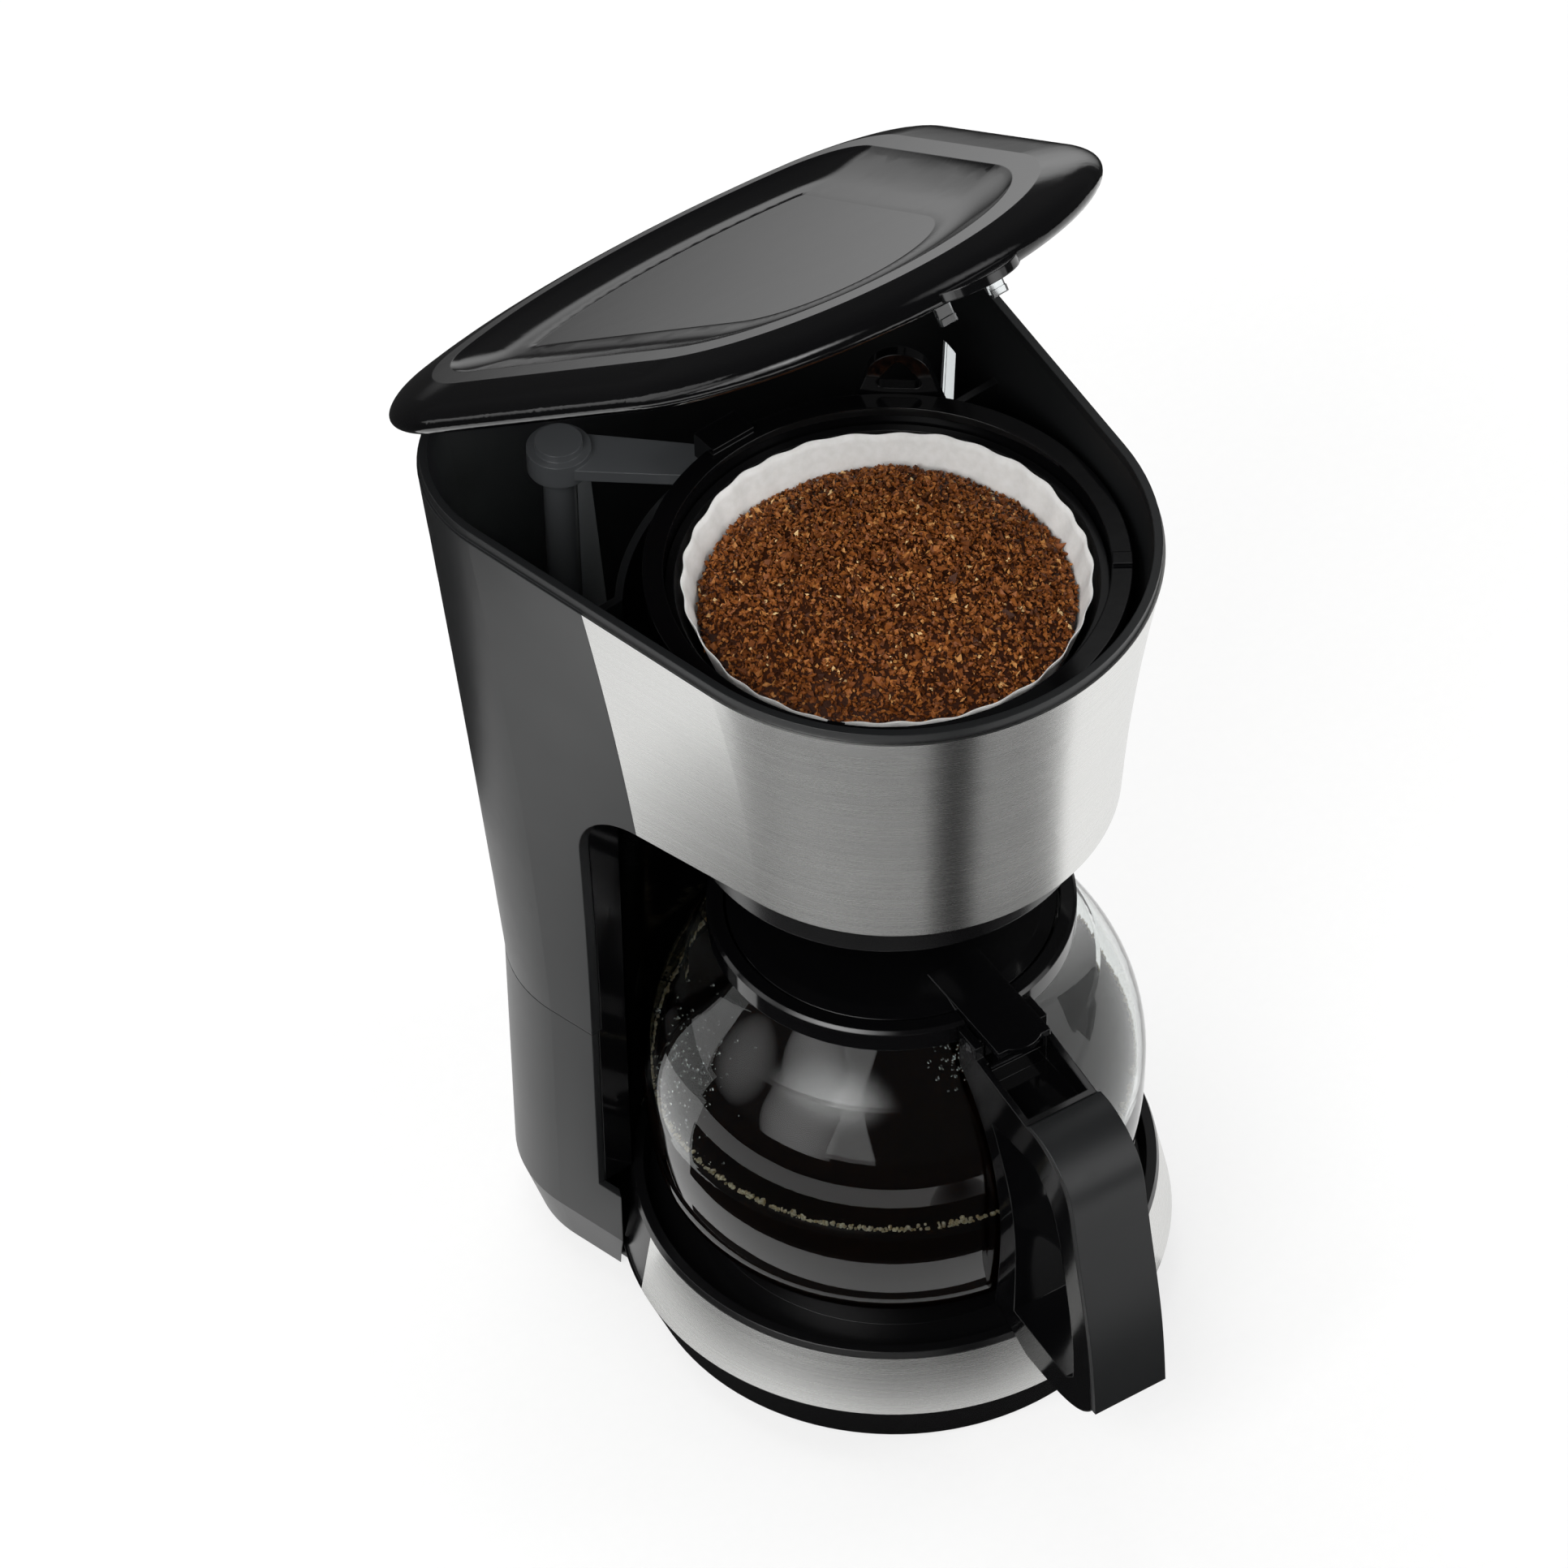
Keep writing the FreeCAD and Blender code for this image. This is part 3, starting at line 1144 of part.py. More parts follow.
def turn_carafe(made):
    """Turns a carafe piece about the axis to the way the handle points."""
    made.Placement = Placement(Vector(), Rotation(Vector(0, 0, 1), SIZE.handle_turn.value)
                               ).multiply(made.Placement)
    return made


def glass_side(inset):
    """The carafe's side from heel to neck, drawn in by inset, as (r, z) corners."""
    return [
        (SIZE.glass_foot_radius - inset, SIZE.glass_bottom_z + inset),
        Bow(SIZE.glass_heel_radius - inset, SIZE.glass_heel_z, -(dim(12.0) - inset)),
        Bow(SIZE.glass_wide_radius - inset, SIZE.glass_wide_z, -(dim(150.0) - inset)),
        Bow(SIZE.glass_neck_radius + 12.0 - inset, SIZE.glass_neck_z - 18.0,
            -(dim(64.0) - inset)),
        Bow(SIZE.glass_neck_radius - inset, SIZE.glass_neck_z, dim(60.0) + inset),
    ]


def build_carafe():
    """Glass, coffee, collar and the pivoting lid."""
    wall = SIZE.glass_wall
    outer = glass_side(dim(0.0))
    inner = [(p.x, p.y, p.radius) if isinstance(p, Bow) else (p[0], p[1], None)
             for p in glass_side(wall)]
    back = []
    for (x, y, _), (_, _, radius) in zip(inner[::-1][1:], inner[::-1]):
        back.append(Bow(x, y, -radius))
    outline = [(0, SIZE.glass_bottom_z)] + outer
    outline += [(SIZE.glass_neck_radius, SIZE.glass_top_z),
                (SIZE.glass_neck_radius - wall, SIZE.glass_top_z),
                (SIZE.glass_neck_radius - wall, SIZE.glass_neck_z)]
    outline += back + [(0, SIZE.glass_bottom_z + wall)]
    node(turned("carafe_glass", outline), "carafe_glass")
    drink = wall + SIZE.gap
    node(turned("brewed_coffee", [
        (0, SIZE.glass_bottom_z + drink),
        (SIZE.glass_foot_radius - drink, SIZE.glass_bottom_z + drink),
        Bow(SIZE.glass_heel_radius - drink, SIZE.glass_heel_z, -(dim(12.0) - drink)),
        Bow(SIZE.glass_wide_radius - drink, SIZE.glass_wide_z, -(dim(150.0) - drink)),
        (SIZE.glass_wide_radius - drink - 0.2, SIZE.coffee_z),
        (0, SIZE.coffee_z),
    ]), "brewed_coffee")
    build_collar()
    build_carafe_lid()
    build_handle()


def build_collar():
    """The moulded ring clamped round the neck."""
    ring = turned("collar_ring", [
        (SIZE.glass_neck_radius + 0.3, SIZE.collar_low_z), (SIZE.collar_radius, SIZE.collar_low_z),
        (SIZE.collar_radius, SIZE.collar_top_z - 1.0),
        (SIZE.collar_radius - 1.0, SIZE.collar_top_z),
        (SIZE.carafe_lid_radius + SIZE.lid_swing_gap, SIZE.collar_top_z),
        (SIZE.carafe_lid_radius + SIZE.lid_swing_gap, SIZE.glass_top_z + 0.1),
        (SIZE.glass_neck_radius + 0.3, SIZE.glass_top_z + 0.1),
    ])
    way = block("collar_lever_way", 19, 16, 12, 0, -53, SIZE.collar_top_z - 1.6)
    node(turn_carafe(cut("carafe_collar", ring, way)), "carafe_collar")


def build_carafe_lid():
    """The pivoting lid with its pour-over hole and flat thumb lever, and its pin."""
    low, reach = SIZE.glass_top_z + SIZE.gap + 0.1, SIZE.thumb_pin_reach
    disc = turned("carafe_lid_disc", [
        (5.0, low + 1.2), (18.0, low + 0.2), (SIZE.carafe_lid_radius, low),
        (SIZE.carafe_lid_radius, low + 2.0), (SIZE.carafe_lid_radius - 4.0, low + 3.4),
        (20.0, low + 3.4), (14.0, low + 2.4), (5.0, low + 3.2),
    ])
    lever = block("lever_blade", 18, 38, 2.4, 0, dim(-0.5) * (reach + 9 + 35), low + 1.5)
    nose = rod("lever_nose", 9, 2.4, 0, -(reach + 4), low + 1.5)
    lugs = [block(f"lever_lug{i}", 2.4, 7, 6.5, side * 7.6, -reach, low - 4.0)
            for i, side in enumerate((-1, 1))]
    blank = fuse("carafe_lid_blank", disc, lever, nose, *lugs)
    bore = rod("lever_bore", SIZE.pin_radius + SIZE.pin_gap, 60, -30, -reach, low - 1.6, "x")
    node(turn_carafe(cut("carafe_lid", blank, bore)), "carafe_lid")
    pin = rod("lever_pin", SIZE.pin_radius, 24.6, -12.3, -reach, low - 1.6, "x")
    node(turn_carafe(group("carafe_lid_pins", pin)), "carafe_lid_pin")


def side_wire(runs):
    """A closed side view from runs of (reach, z) points: 2 make a line, more a curve."""
    edges = []
    for run in runs:
        points = [Vector(0, -reach, z) for reach, z in run]
        if len(points) == 2:
            edges.append(Part.LineSegment(*points).toShape())
            continue
        curve = Part.BSplineCurve()
        curve.interpolate(points)
        edges.append(curve.toShape())
    return Part.Wire(edges)


def side_plate(runs, half):
    """A side view made solid, half-width each side of the carafe's middle."""
    wire = side_wire(runs)
    wire.translate(Vector(-half, 0, 0))
    return Part.Face(wire).extrude(Vector(2 * half, 0, 0))


def strap_line(inset):
    """The back of the handle from the channel's end to its toe, drawn in by inset."""
    reach, low = SIZE.handle_reach.value - inset, SIZE.handle_low_z.value
    neck = SIZE.collar_top_z.value - inset
    bend = (reach - 15.0, neck - 19.0)
    return [(reach - 35.5, neck - 8.6), (reach - 21.5, neck - 12.4), bend,
            (reach - 11.0, neck - 33.0), (reach - 2.5, low + 36.0), (reach, low + 9.0)]


def build_handle():
    """The hollow handle: channel, spine, back and toe in one, and its outer strap."""
    half, low = SIZE.handle_width.value / 2, SIZE.handle_low_z.value
    neck, top = SIZE.collar_radius.value + 0.2, SIZE.glass_top_z.value - 1.4
    thick = SIZE.strap_thick.value
    back = strap_line(thick + 0.05)
    side = SIZE.glass_wide_radius.value + SIZE.gap.value + 0.5
    toe = [back[-1], (back[-1][0] - 5.5, low + 3.6), (108, low), (91, low)]
    heel = [toe[-1], (side - 3.0, low + 8.5)]
    spine = [heel[-1], (side, SIZE.glass_wide_z.value - 8), (side - 1.0, 100), (70.8, 118),
             (neck + 2.0, 139)]
    frame = side_plate([[(neck, top), back[0]], back, toe, heel, spine,
                        [spine[-1], (neck, 142)], [(neck, 142), (neck, top)]], half)
    inner = [(94, 132.5), (103, 124), (110.5, 100), (115, 74), (115.5, 58)]
    rear = [(84, 57), (85, 80), (83.5, 100), (78, 118), (72, 131)]
    hole = side_plate([inner, [inner[-1], (112, 54.5)], [(112, 54.5), rear[0]], rear,
                       [rear[-1], inner[0]]], half + 1)
    channel = slab((2.1 - half, half - 2.1), (-(back[0][0] - 2.0), -(neck + 11.5)),
                   (139.5, WIDE))
    reach = SIZE.thumb_pin_reach.value
    way = slab((-9.7, 9.7), (-(reach + 8), 0), (top - 6, WIDE))
    body = frame.cut([hole, channel, way])
    pin_z = (SIZE.glass_top_z + SIZE.gap + 0.1 - 1.6).value
    ears = []
    for sign in (-1, 1):
        x = sorted((sign * 9.7, sign * half))
        ears.append(slab(x, (-(reach + 4), -neck), (top - 2, pin_z + 3.0)))
    body = body.fuse(ears)
    pin = Part.makeCylinder(SIZE.pin_radius.value + SIZE.seat_gap.value / 2, 60,
                            Vector(-30, -reach, pin_z), Vector(1, 0, 0))
    body = body.cut(pin).removeSplitter()
    node(turn_carafe(feature("carafe_handle", body)), "carafe_handle")
    outer, under = strap_line(0), strap_line(thick)
    strap = side_plate([outer, [outer[-1], under[-1]], under[::-1], [under[0], outer[0]]], half)
    node(turn_carafe(feature("handle_strap", strap)), "handle_strap")


# ---- Switch, cord inlet and wiring --------------------------------------------

def build_switch():
    """The rocker switch in the right-hand wall of the lower housing."""
    y, z = SIZE.switch_y, SIZE.switch_z
    wide, high = SIZE.switch_wide - 0.2, SIZE.switch_high - 0.2
    face = 83.6
    body = block("switch_body", 16, wide, high, face - 7.0, y, z - high / 2)
    flange = block("switch_flange", 1.4, wide + 3, high + 3, face + 1.0, y,
                   z - (high + 3) / 2)
    room = block("switch_room", 11, wide - 2.4, high - 2.4, face - 3.4, y,
                 z - (high - 2.4) / 2)
    bore = rod("switch_bore", 1.0, wide - 0.4, face - 3.0, y - (wide - 0.4) / 2, z, "y")
    node(cut("switch_body_cut", fuse("switch_blank", body, flange), room, bore),
         "switch_housing")
    rocker = block("rocker_blank", 5.0, wide - 3.2, high - 4.0, face - 0.6, y,
                   z - (high - 4.0) / 2)
    pivot = rod("rocker_pivot", 0.95, wide - 0.6, face - 3.0, y - (wide - 0.6) / 2, z, "y")
    hub = rod("rocker_hub", 2.0, wide - 3.2, face - 3.0, y - (wide - 3.2) / 2, z, "y")
    made = fuse("rocker_solid", rocker, pivot, hub)
    middle = Vector(face - 3.0, y.value, z.value)
    made.Placement = Placement(Vector(), Rotation(Vector(0, 1, 0), ROCKER_TILT), middle)
    node(made, "switch_rocker")
    lamp = rod("lamp_bulb", 1.6, 3.4, face - 8.85, y, z + 5.4, "x")
    node(lamp, "switch_lamp")


def build_inlet():
    """Cord gland, clamp and terminal block low in the column."""
    x, z = SIZE.inlet_x, SIZE.inlet_z
    rear = SIZE.seam_rear - 9.5
    gland = rod("gland_shank", INLET_SEAT - 0.1, 9, x, rear, z, "y")
    flange = rod("gland_flange", INLET_SEAT + 2.0, 2.6, x, rear + 8.4, z, "y")
    bore = rod("gland_bore", SIZE.inlet_bore, 40, x, rear - 10, z, "y")
    node(cut("cord_gland", fuse("gland_blank", gland, flange), bore), "cord_gland")
    deck = COVER_TOP + 0.05
    foot = block("terminal_foot", 26, 12, 3, -8, 100, deck)
    pillars = [block(f"terminal_pillar{i}", 6, 10, 12, -17 + 9 * i, 100, deck)
               for i in range(3)]
    holes = [rod(f"terminal_hole{i}", 1.4, 20, -17 + 9 * i, 90, deck + 8, "y")
             for i in range(3)]
    node(cut("terminal_block", fuse("terminal_blank", foot, *pillars), *holes),
         "terminal_block")
    saddle = block("clamp_saddle", 26, 8, 6, x, 94, deck)
    node(saddle, "cord_clamp")


def finish_document():
    """Recomputes, checks every object, and writes one STEP file for each piece."""
    DOC.recompute()
    for thing in DOC.Objects:
        if {"Invalid", "Error"} & set(thing.State):
            raise RuntimeError(f"{thing.Label} failed: {thing.State}")
    os.makedirs("parts", exist_ok=True)
    for thing in NODES:
        shape = thing.Shape
        if shape.isNull() or not shape.isValid() or not shape.Solids:
            raise RuntimeError(f"{thing.Label} has no valid solid")
        shape.exportStep(f"parts/{thing.Label}.step")
        print(f"{thing.Label:18s} solids {len(shape.Solids)}  volume {shape.Volume:10.1f}")


build_base_shell()
build_base_band()
build_base_cover()
build_base_fittings()
build_warming_plate()
build_heater()
build_hoses()
build_lower_housing()
build_head_band()
build_upper_housing()
build_column_trim()
build_tank_fittings()
build_funnel()
build_carrier()
build_basket()
build_drip_stop()
build_lid()
build_carafe()
build_switch()
build_inlet()
finish_document()
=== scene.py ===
"""A drip coffee maker with its lid up and its carafe on the warming plate.

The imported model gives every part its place. This script dresses the parts whose shape is
already right, makes finer surfaces for the ones that need them, and sets up a pale studio.
"""

import logging
import math
from collections.abc import Iterable, Mapping
from dataclasses import dataclass
from enum import Enum

import bpy
import numpy as np
from mathutils import Matrix, Vector


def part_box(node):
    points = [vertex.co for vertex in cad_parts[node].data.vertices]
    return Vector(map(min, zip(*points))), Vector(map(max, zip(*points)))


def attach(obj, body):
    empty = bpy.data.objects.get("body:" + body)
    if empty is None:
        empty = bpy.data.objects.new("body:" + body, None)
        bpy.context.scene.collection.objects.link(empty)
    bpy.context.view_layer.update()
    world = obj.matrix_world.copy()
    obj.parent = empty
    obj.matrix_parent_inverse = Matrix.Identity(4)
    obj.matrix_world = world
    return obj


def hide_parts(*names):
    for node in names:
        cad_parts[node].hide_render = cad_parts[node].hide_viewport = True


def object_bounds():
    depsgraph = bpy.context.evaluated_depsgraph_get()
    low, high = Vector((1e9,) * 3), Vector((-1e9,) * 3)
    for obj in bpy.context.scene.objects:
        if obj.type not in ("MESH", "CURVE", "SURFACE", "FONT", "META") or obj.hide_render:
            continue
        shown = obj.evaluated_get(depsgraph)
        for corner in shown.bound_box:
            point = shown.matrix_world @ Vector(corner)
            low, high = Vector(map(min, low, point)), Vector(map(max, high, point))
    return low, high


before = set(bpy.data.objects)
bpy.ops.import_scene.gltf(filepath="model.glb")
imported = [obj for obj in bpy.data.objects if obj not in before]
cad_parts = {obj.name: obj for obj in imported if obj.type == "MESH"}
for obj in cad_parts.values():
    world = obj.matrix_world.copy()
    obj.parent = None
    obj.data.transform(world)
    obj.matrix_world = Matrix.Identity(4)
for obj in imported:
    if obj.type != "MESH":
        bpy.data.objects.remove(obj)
CAD_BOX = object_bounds()

log = logging.getLogger("coffee_maker")
MM = 0.001
Grid = np.ndarray
Setting = float | int | str | bool | tuple | Vector


# ---------------------------------------------------------------- colours and nodes


def linear(hex_code: str) -> tuple[float, float, float, float]:
    """Turn an sRGB hex colour into the linear one that a shader takes.

    Args:
        hex_code: the colour as "#rrggbb".

    Returns:
        Red, green and blue in linear light, and an opacity of one.
    """
    shares = [int(hex_code[i : i + 2], 16) / 255 for i in (1, 3, 5)]
    light = [s / 12.92 if s <= 0.04045 else ((s + 0.055) / 1.055) ** 2.4 for s in shares]
    return light[0], light[1], light[2], 1.0


def per_metre(millimetres: float) -> float:
    """Texture scale that gives a pattern that many millimetres across."""
    return 1000.0 / millimetres


def add_node(
    tree: bpy.types.NodeTree,
    kind: str,
    settings: Mapping[str | int, Setting] | None = None,
    links: Mapping[str | int, bpy.types.NodeSocket] | None = None,
) -> bpy.types.Node:
    """Add one node, with its settings and what feeds it.

    Args:
        tree: the material's or the world's node tree.
        kind: the node's type, without the "ShaderNode" it starts with.
        settings: the node's own properties, or values for its inputs by name or number.
        links: the output socket that feeds each input, by name or number.

    Returns:
        The new node.
    """
    node = tree.nodes.new("ShaderNode" + kind)
    for key, value in (settings or {}).items():
        if isinstance(key, str) and hasattr(node, key):
            setattr(node, key, value)
        else:
            node.inputs[key].default_value = value
    for key, socket in (links or {}).items():
        tree.links.new(socket, node.inputs[key])
    return node


def ramp(
    tree: bpy.types.NodeTree,
    factor: bpy.types.NodeSocket,
    stops: Iterable[tuple[float, str]],
) -> bpy.types.NodeSocket:
    """Colour a factor through a ramp.

    Args:
        tree: the material's node tree.
        factor: the value that picks the colour.
        stops: places from 0 to 1, in order, each with its hex colour.

    Returns:
        The ramp's colour output.
    """
    node = add_node(tree, "ValToRGB", links={"Fac": factor})
    elements = node.color_ramp.elements
    while len(elements) > 1:
        elements.remove(elements[-1])
    for index, (place, hex_code) in enumerate(stops):
        element = elements[0] if index == 0 else elements.new(place)
        element.position, element.color = place, linear(hex_code)
    return node.outputs["Color"]


def blank(name: str) -> tuple[bpy.types.Material, bpy.types.NodeTree, bpy.types.Node]:
    """Start a material.

    Args:
        name: the material's name, for the real one it stands for.

    Returns:
        The material, its node tree and its Principled shader.
    """
    material = bpy.data.materials.new(name)
    material.use_nodes = True
    tree = material.node_tree
    return material, tree, tree.nodes["Principled BSDF"]


def place_of(tree: bpy.types.NodeTree, stretch: tuple[float, float, float] = (1, 1, 1),
             turn: tuple[float, float, float] = (0, 0, 0)) -> bpy.types.NodeSocket:
    """Object coordinates, stretched and turned.

    Args:
        tree: the material's node tree.
        stretch: the scale along each axis.
        turn: the turn about each axis, in radians.

    Returns:
        The socket with the coordinates.
    """
    where = add_node(tree, "TexCoord").outputs["Object"]
    if stretch == (1, 1, 1) and turn == (0, 0, 0):
        return where
    mapping = add_node(tree, "Mapping", {"Scale": stretch, "Rotation": turn}, {"Vector": where})
    return mapping.outputs["Vector"]


# ---------------------------------------------------------------- finishes


@dataclass(frozen=True)
class MouldedPlastic:
    """Injection-moulded thermoplastic.

    The tool's polish decides its gloss: a mirror tool leaves only a slow waviness, and a
    spark-eroded one leaves a fine even grain that softens every highlight. Edges are
    slightly round, because plastic never fills a sharp corner of the tool.
    """

    name: str
    colour: str
    roughness: float
    grain_mm: float
    relief_mm: float
    edge_mm: float = 0.5
    uneven: float = 0.04

    def material(self) -> bpy.types.Material:
        """Make the material: grain as bump, slow patches in the gloss, rounded edges."""
        material, tree, shader = blank(self.name)
        where = place_of(tree)
        grain = add_node(
            tree, "TexNoise", {"Scale": per_metre(self.grain_mm), "Detail": 3.0}, {"Vector": where}
        )
        # Slow patches 30 mm across, where the plastic cooled and was wiped unevenly.
        patches = add_node(
            tree, "TexNoise", {"Scale": per_metre(30.0), "Detail": 4.0}, {"Vector": where}
        )
        gloss = add_node(
            tree,
            "MapRange",
            {"To Min": self.roughness - self.uneven, "To Max": self.roughness + self.uneven},
            {"Value": patches.outputs["Fac"]},
        )
        edge = add_node(tree, "Bevel", {"samples": 6, "Radius": self.edge_mm * MM})
        relief = add_node(
            tree,
            "Bump",
            {"Strength": 1.0, "Distance": self.relief_mm * MM},
            {"Height": grain.outputs["Fac"], "Normal": edge.outputs["Normal"]},
        )
        tree.links.new(gloss.outputs["Result"], shader.inputs["Roughness"])
        tree.links.new(relief.outputs["Normal"], shader.inputs["Normal"])
        shader.inputs["Base Color"].default_value = linear(self.colour)
        shader.inputs["IOR"].default_value = 1.53
        return material


class BrushLine(Enum):
    """Which way a sheet was brushed: the stretch that draws its lines out.

    Level lines are about 330 mm long and 0.5 mm wide.
    """

    LEVEL = (3.0, 3.0, 1900.0)


@dataclass(frozen=True)
class BrushedSteel:
    """Stainless sheet, brushed with an abrasive belt.

    Each belt grit leaves a line some centimetres long and a few hundredths of a millimetre
    wide, drawn here about ten times as coarse so that it shows. The lines spread a
    highlight across themselves, so that lights stretch into soft upright bars.
    """

    name: str
    colour: str = "#dededc"
    roughness: float = 0.27
    anisotropy: float = 0.75
    lines: BrushLine = BrushLine.LEVEL

    def material(self) -> bpy.types.Material:
        """Make the material: long lines in the gloss, the colour and the relief."""
        material, tree, shader = blank(self.name)
        where = place_of(tree, self.lines.value)
        lines = add_node(tree, "TexNoise", {"Scale": 1.0, "Detail": 2.0, "Roughness": 0.5},
                         {"Vector": where})
        tint = ramp(tree, lines.outputs["Fac"], ((0.3, "#dadad8"), (0.5, self.colour),
                                                 (0.7, "#e2e2e0")))
        gloss = add_node(
            tree,
            "MapRange",
            {"To Min": self.roughness - 0.02, "To Max": self.roughness + 0.02},
            {"Value": lines.outputs["Fac"]},
        )
        relief = add_node(tree, "Bump", {"Strength": 0.06, "Distance": 0.003 * MM},
                          {"Height": lines.outputs["Fac"]})
        tangent = add_node(tree, "Tangent", {"direction_type": "RADIAL", "axis": "Z"})
        tree.links.new(tint, shader.inputs["Base Color"])
        tree.links.new(gloss.outputs["Result"], shader.inputs["Roughness"])
        tree.links.new(relief.outputs["Normal"], shader.inputs["Normal"])
        tree.links.new(tangent.outputs["Tangent"], shader.inputs["Tangent"])
        shader.inputs["Metallic"].default_value = 1.0
        shader.inputs["Anisotropic"].default_value = self.anisotropy
        shader.inputs["Anisotropic Rotation"].default_value = 0.25
        return material


@dataclass(frozen=True)
class WorkedMetal:
    """Plain metal parts inside: plated, extruded or drawn.

    Plating and dies leave a soft gleam with faint blotches and fine scratches.
    """

    name: str
    colour: str
    dull: str
    roughness: float
    scratch_mm: float = 0.4

    def material(self) -> bpy.types.Material:
        """Make the material: blotches in the colour and scratches in the relief."""
        material, tree, shader = blank(self.name)
        where = place_of(tree)
        blotches = add_node(tree, "TexNoise", {"Scale": per_metre(6.0), "Detail": 5.0},
                            {"Vector": where})
        scratches = add_node(tree, "TexNoise",
                             {"Scale": per_metre(self.scratch_mm), "Detail": 2.0},
                             {"Vector": place_of(tree, (1, 0.08, 1))})
        tint = ramp(tree, blotches.outputs["Fac"], ((0.3, self.dull), (0.7, self.colour)))
        relief = add_node(tree, "Bump", {"Strength": 0.5, "Distance": 0.02 * MM},
                          {"Height": scratches.outputs["Fac"]})
        tree.links.new(tint, shader.inputs["Base Color"])
        tree.links.new(relief.outputs["Normal"], shader.inputs["Normal"])
        shader.inputs["Metallic"].default_value = 1.0
        shader.inputs["Roughness"].default_value = self.roughness
        return material


@dataclass(frozen=True)
class ClearPart:
    """A see-through part: blown borosilicate glass or clear moulded plastic.

    Blown glass is fire-polished, so it has no grain, only a slow ripple. Moulded
    polycarbonate is a little hazier.
    """

    name: str
    colour: str
    ior: float
    roughness: float = 0.0
    ripple_mm: float = 0.01
    mirror: float = 0.5

    def material(self) -> bpy.types.Material:
        """Make the material: a clear body with a slow ripple over about 12 mm."""
        material, tree, shader = blank(self.name)
        ripple = add_node(tree, "TexNoise", {"Scale": per_metre(12.0), "Detail": 1.0},
                          {"Vector": place_of(tree)})
        relief = add_node(tree, "Bump", {"Strength": 1.0, "Distance": self.ripple_mm * MM},
                          {"Height": ripple.outputs["Fac"]})
        tree.links.new(relief.outputs["Normal"], shader.inputs["Normal"])
        shader.inputs["Base Color"].default_value = linear(self.colour)
        shader.inputs["Transmission Weight"].default_value = 1.0
        shader.inputs["IOR"].default_value = self.ior
        shader.inputs["Roughness"].default_value = self.roughness
        shader.inputs["Specular IOR Level"].default_value = self.mirror
        return material


@dataclass(frozen=True)
class SoftPart:
    """Rubber, silicone, paper, ceramic and other parts that scatter light.

    The colour drifts between two near shades and the surface has a fine tooth.
    """

    name: str
    colour: str
    shade: str
    roughness: float
    tooth_mm: float
    relief_mm: float
    drift_mm: float = 8.0
    glow: float = 0.0

    def material(self) -> bpy.types.Material:
        """Make the material: drifting colour, fine tooth and any light let through."""
        material, tree, shader = blank(self.name)
        where = place_of(tree)
        drift = add_node(tree, "TexNoise", {"Scale": per_metre(self.drift_mm), "Detail": 5.0},
                         {"Vector": where})
        tooth = add_node(tree, "TexNoise", {"Scale": per_metre(self.tooth_mm), "Detail": 4.0},
                         {"Vector": where})
        tint = ramp(tree, drift.outputs["Fac"], ((0.35, self.shade), (0.65, self.colour)))
        relief = add_node(tree, "Bump", {"Strength": 0.8, "Distance": self.relief_mm * MM},
                          {"Height": tooth.outputs["Fac"]})
        tree.links.new(tint, shader.inputs["Base Color"])
        tree.links.new(relief.outputs["Normal"], shader.inputs["Normal"])
        shader.inputs["Roughness"].default_value = self.roughness
        if self.glow:
            shader.inputs["Subsurface Weight"].default_value = self.glow
            shader.inputs["Subsurface Radius"].default_value = (1.0, 0.95, 0.85)
            shader.inputs["Subsurface Scale"].default_value = 2.0 * MM
        return material


@dataclass(frozen=True)
class GroundCoffee:
    """Medium-coarse ground roast.

    A burr mill breaks each bean into angular flakes 1 to 2 mm across. Outer faces are dark
    and faintly oily, and freshly broken ones are a lighter red-brown. Each flake carries
    its own roast, from 0 to 1, as an attribute. The bed under the flakes has none, so it
    takes the darkest brown, as painted shade between the flakes.
    """

    name: str = "ground_roast_coffee"
    browns: tuple[tuple[float, str], ...] = (
        (0.0, "#321504"), (0.25, "#5e300e"), (0.5, "#85491b"),
        (0.75, "#a8662e"), (0.93, "#cf9453"), (1.0, "#f0cc92"),
    )
    break_mm: float = 0.5

    def material(self) -> bpy.types.Material:
        """Make the material: one brown to each flake, with a rough broken face."""
        material, tree, shader = blank(self.name)
        where = place_of(tree)
        # Flakes carry their roast; the bed has none and reads 0, the darkest brown, as painted
        # shade between the flakes.
        roast = add_node(tree, "Attribute", {"attribute_name": "roast"})
        broken = add_node(tree, "TexNoise", {"Scale": per_metre(self.break_mm), "Detail": 3.0},
                          {"Vector": where})
        mottled = add_node(tree, "MapRange", {"To Min": -0.12, "To Max": 0.12},
                           {"Value": broken.outputs["Fac"]})
        pick = add_node(tree, "Math", {"operation": "ADD"},
                        {0: roast.outputs["Fac"], 1: mottled.outputs["Result"]})
        relief = add_node(tree, "Bump", {"Strength": 0.8, "Distance": 0.12 * MM},
                          {"Height": broken.outputs["Fac"]})
        tree.links.new(ramp(tree, pick.outputs[0], self.browns), shader.inputs["Base Color"])
        tree.links.new(relief.outputs["Normal"], shader.inputs["Normal"])
        shader.inputs["Roughness"].default_value = 0.55
        shader.inputs["Specular IOR Level"].default_value = 0.35
        return material


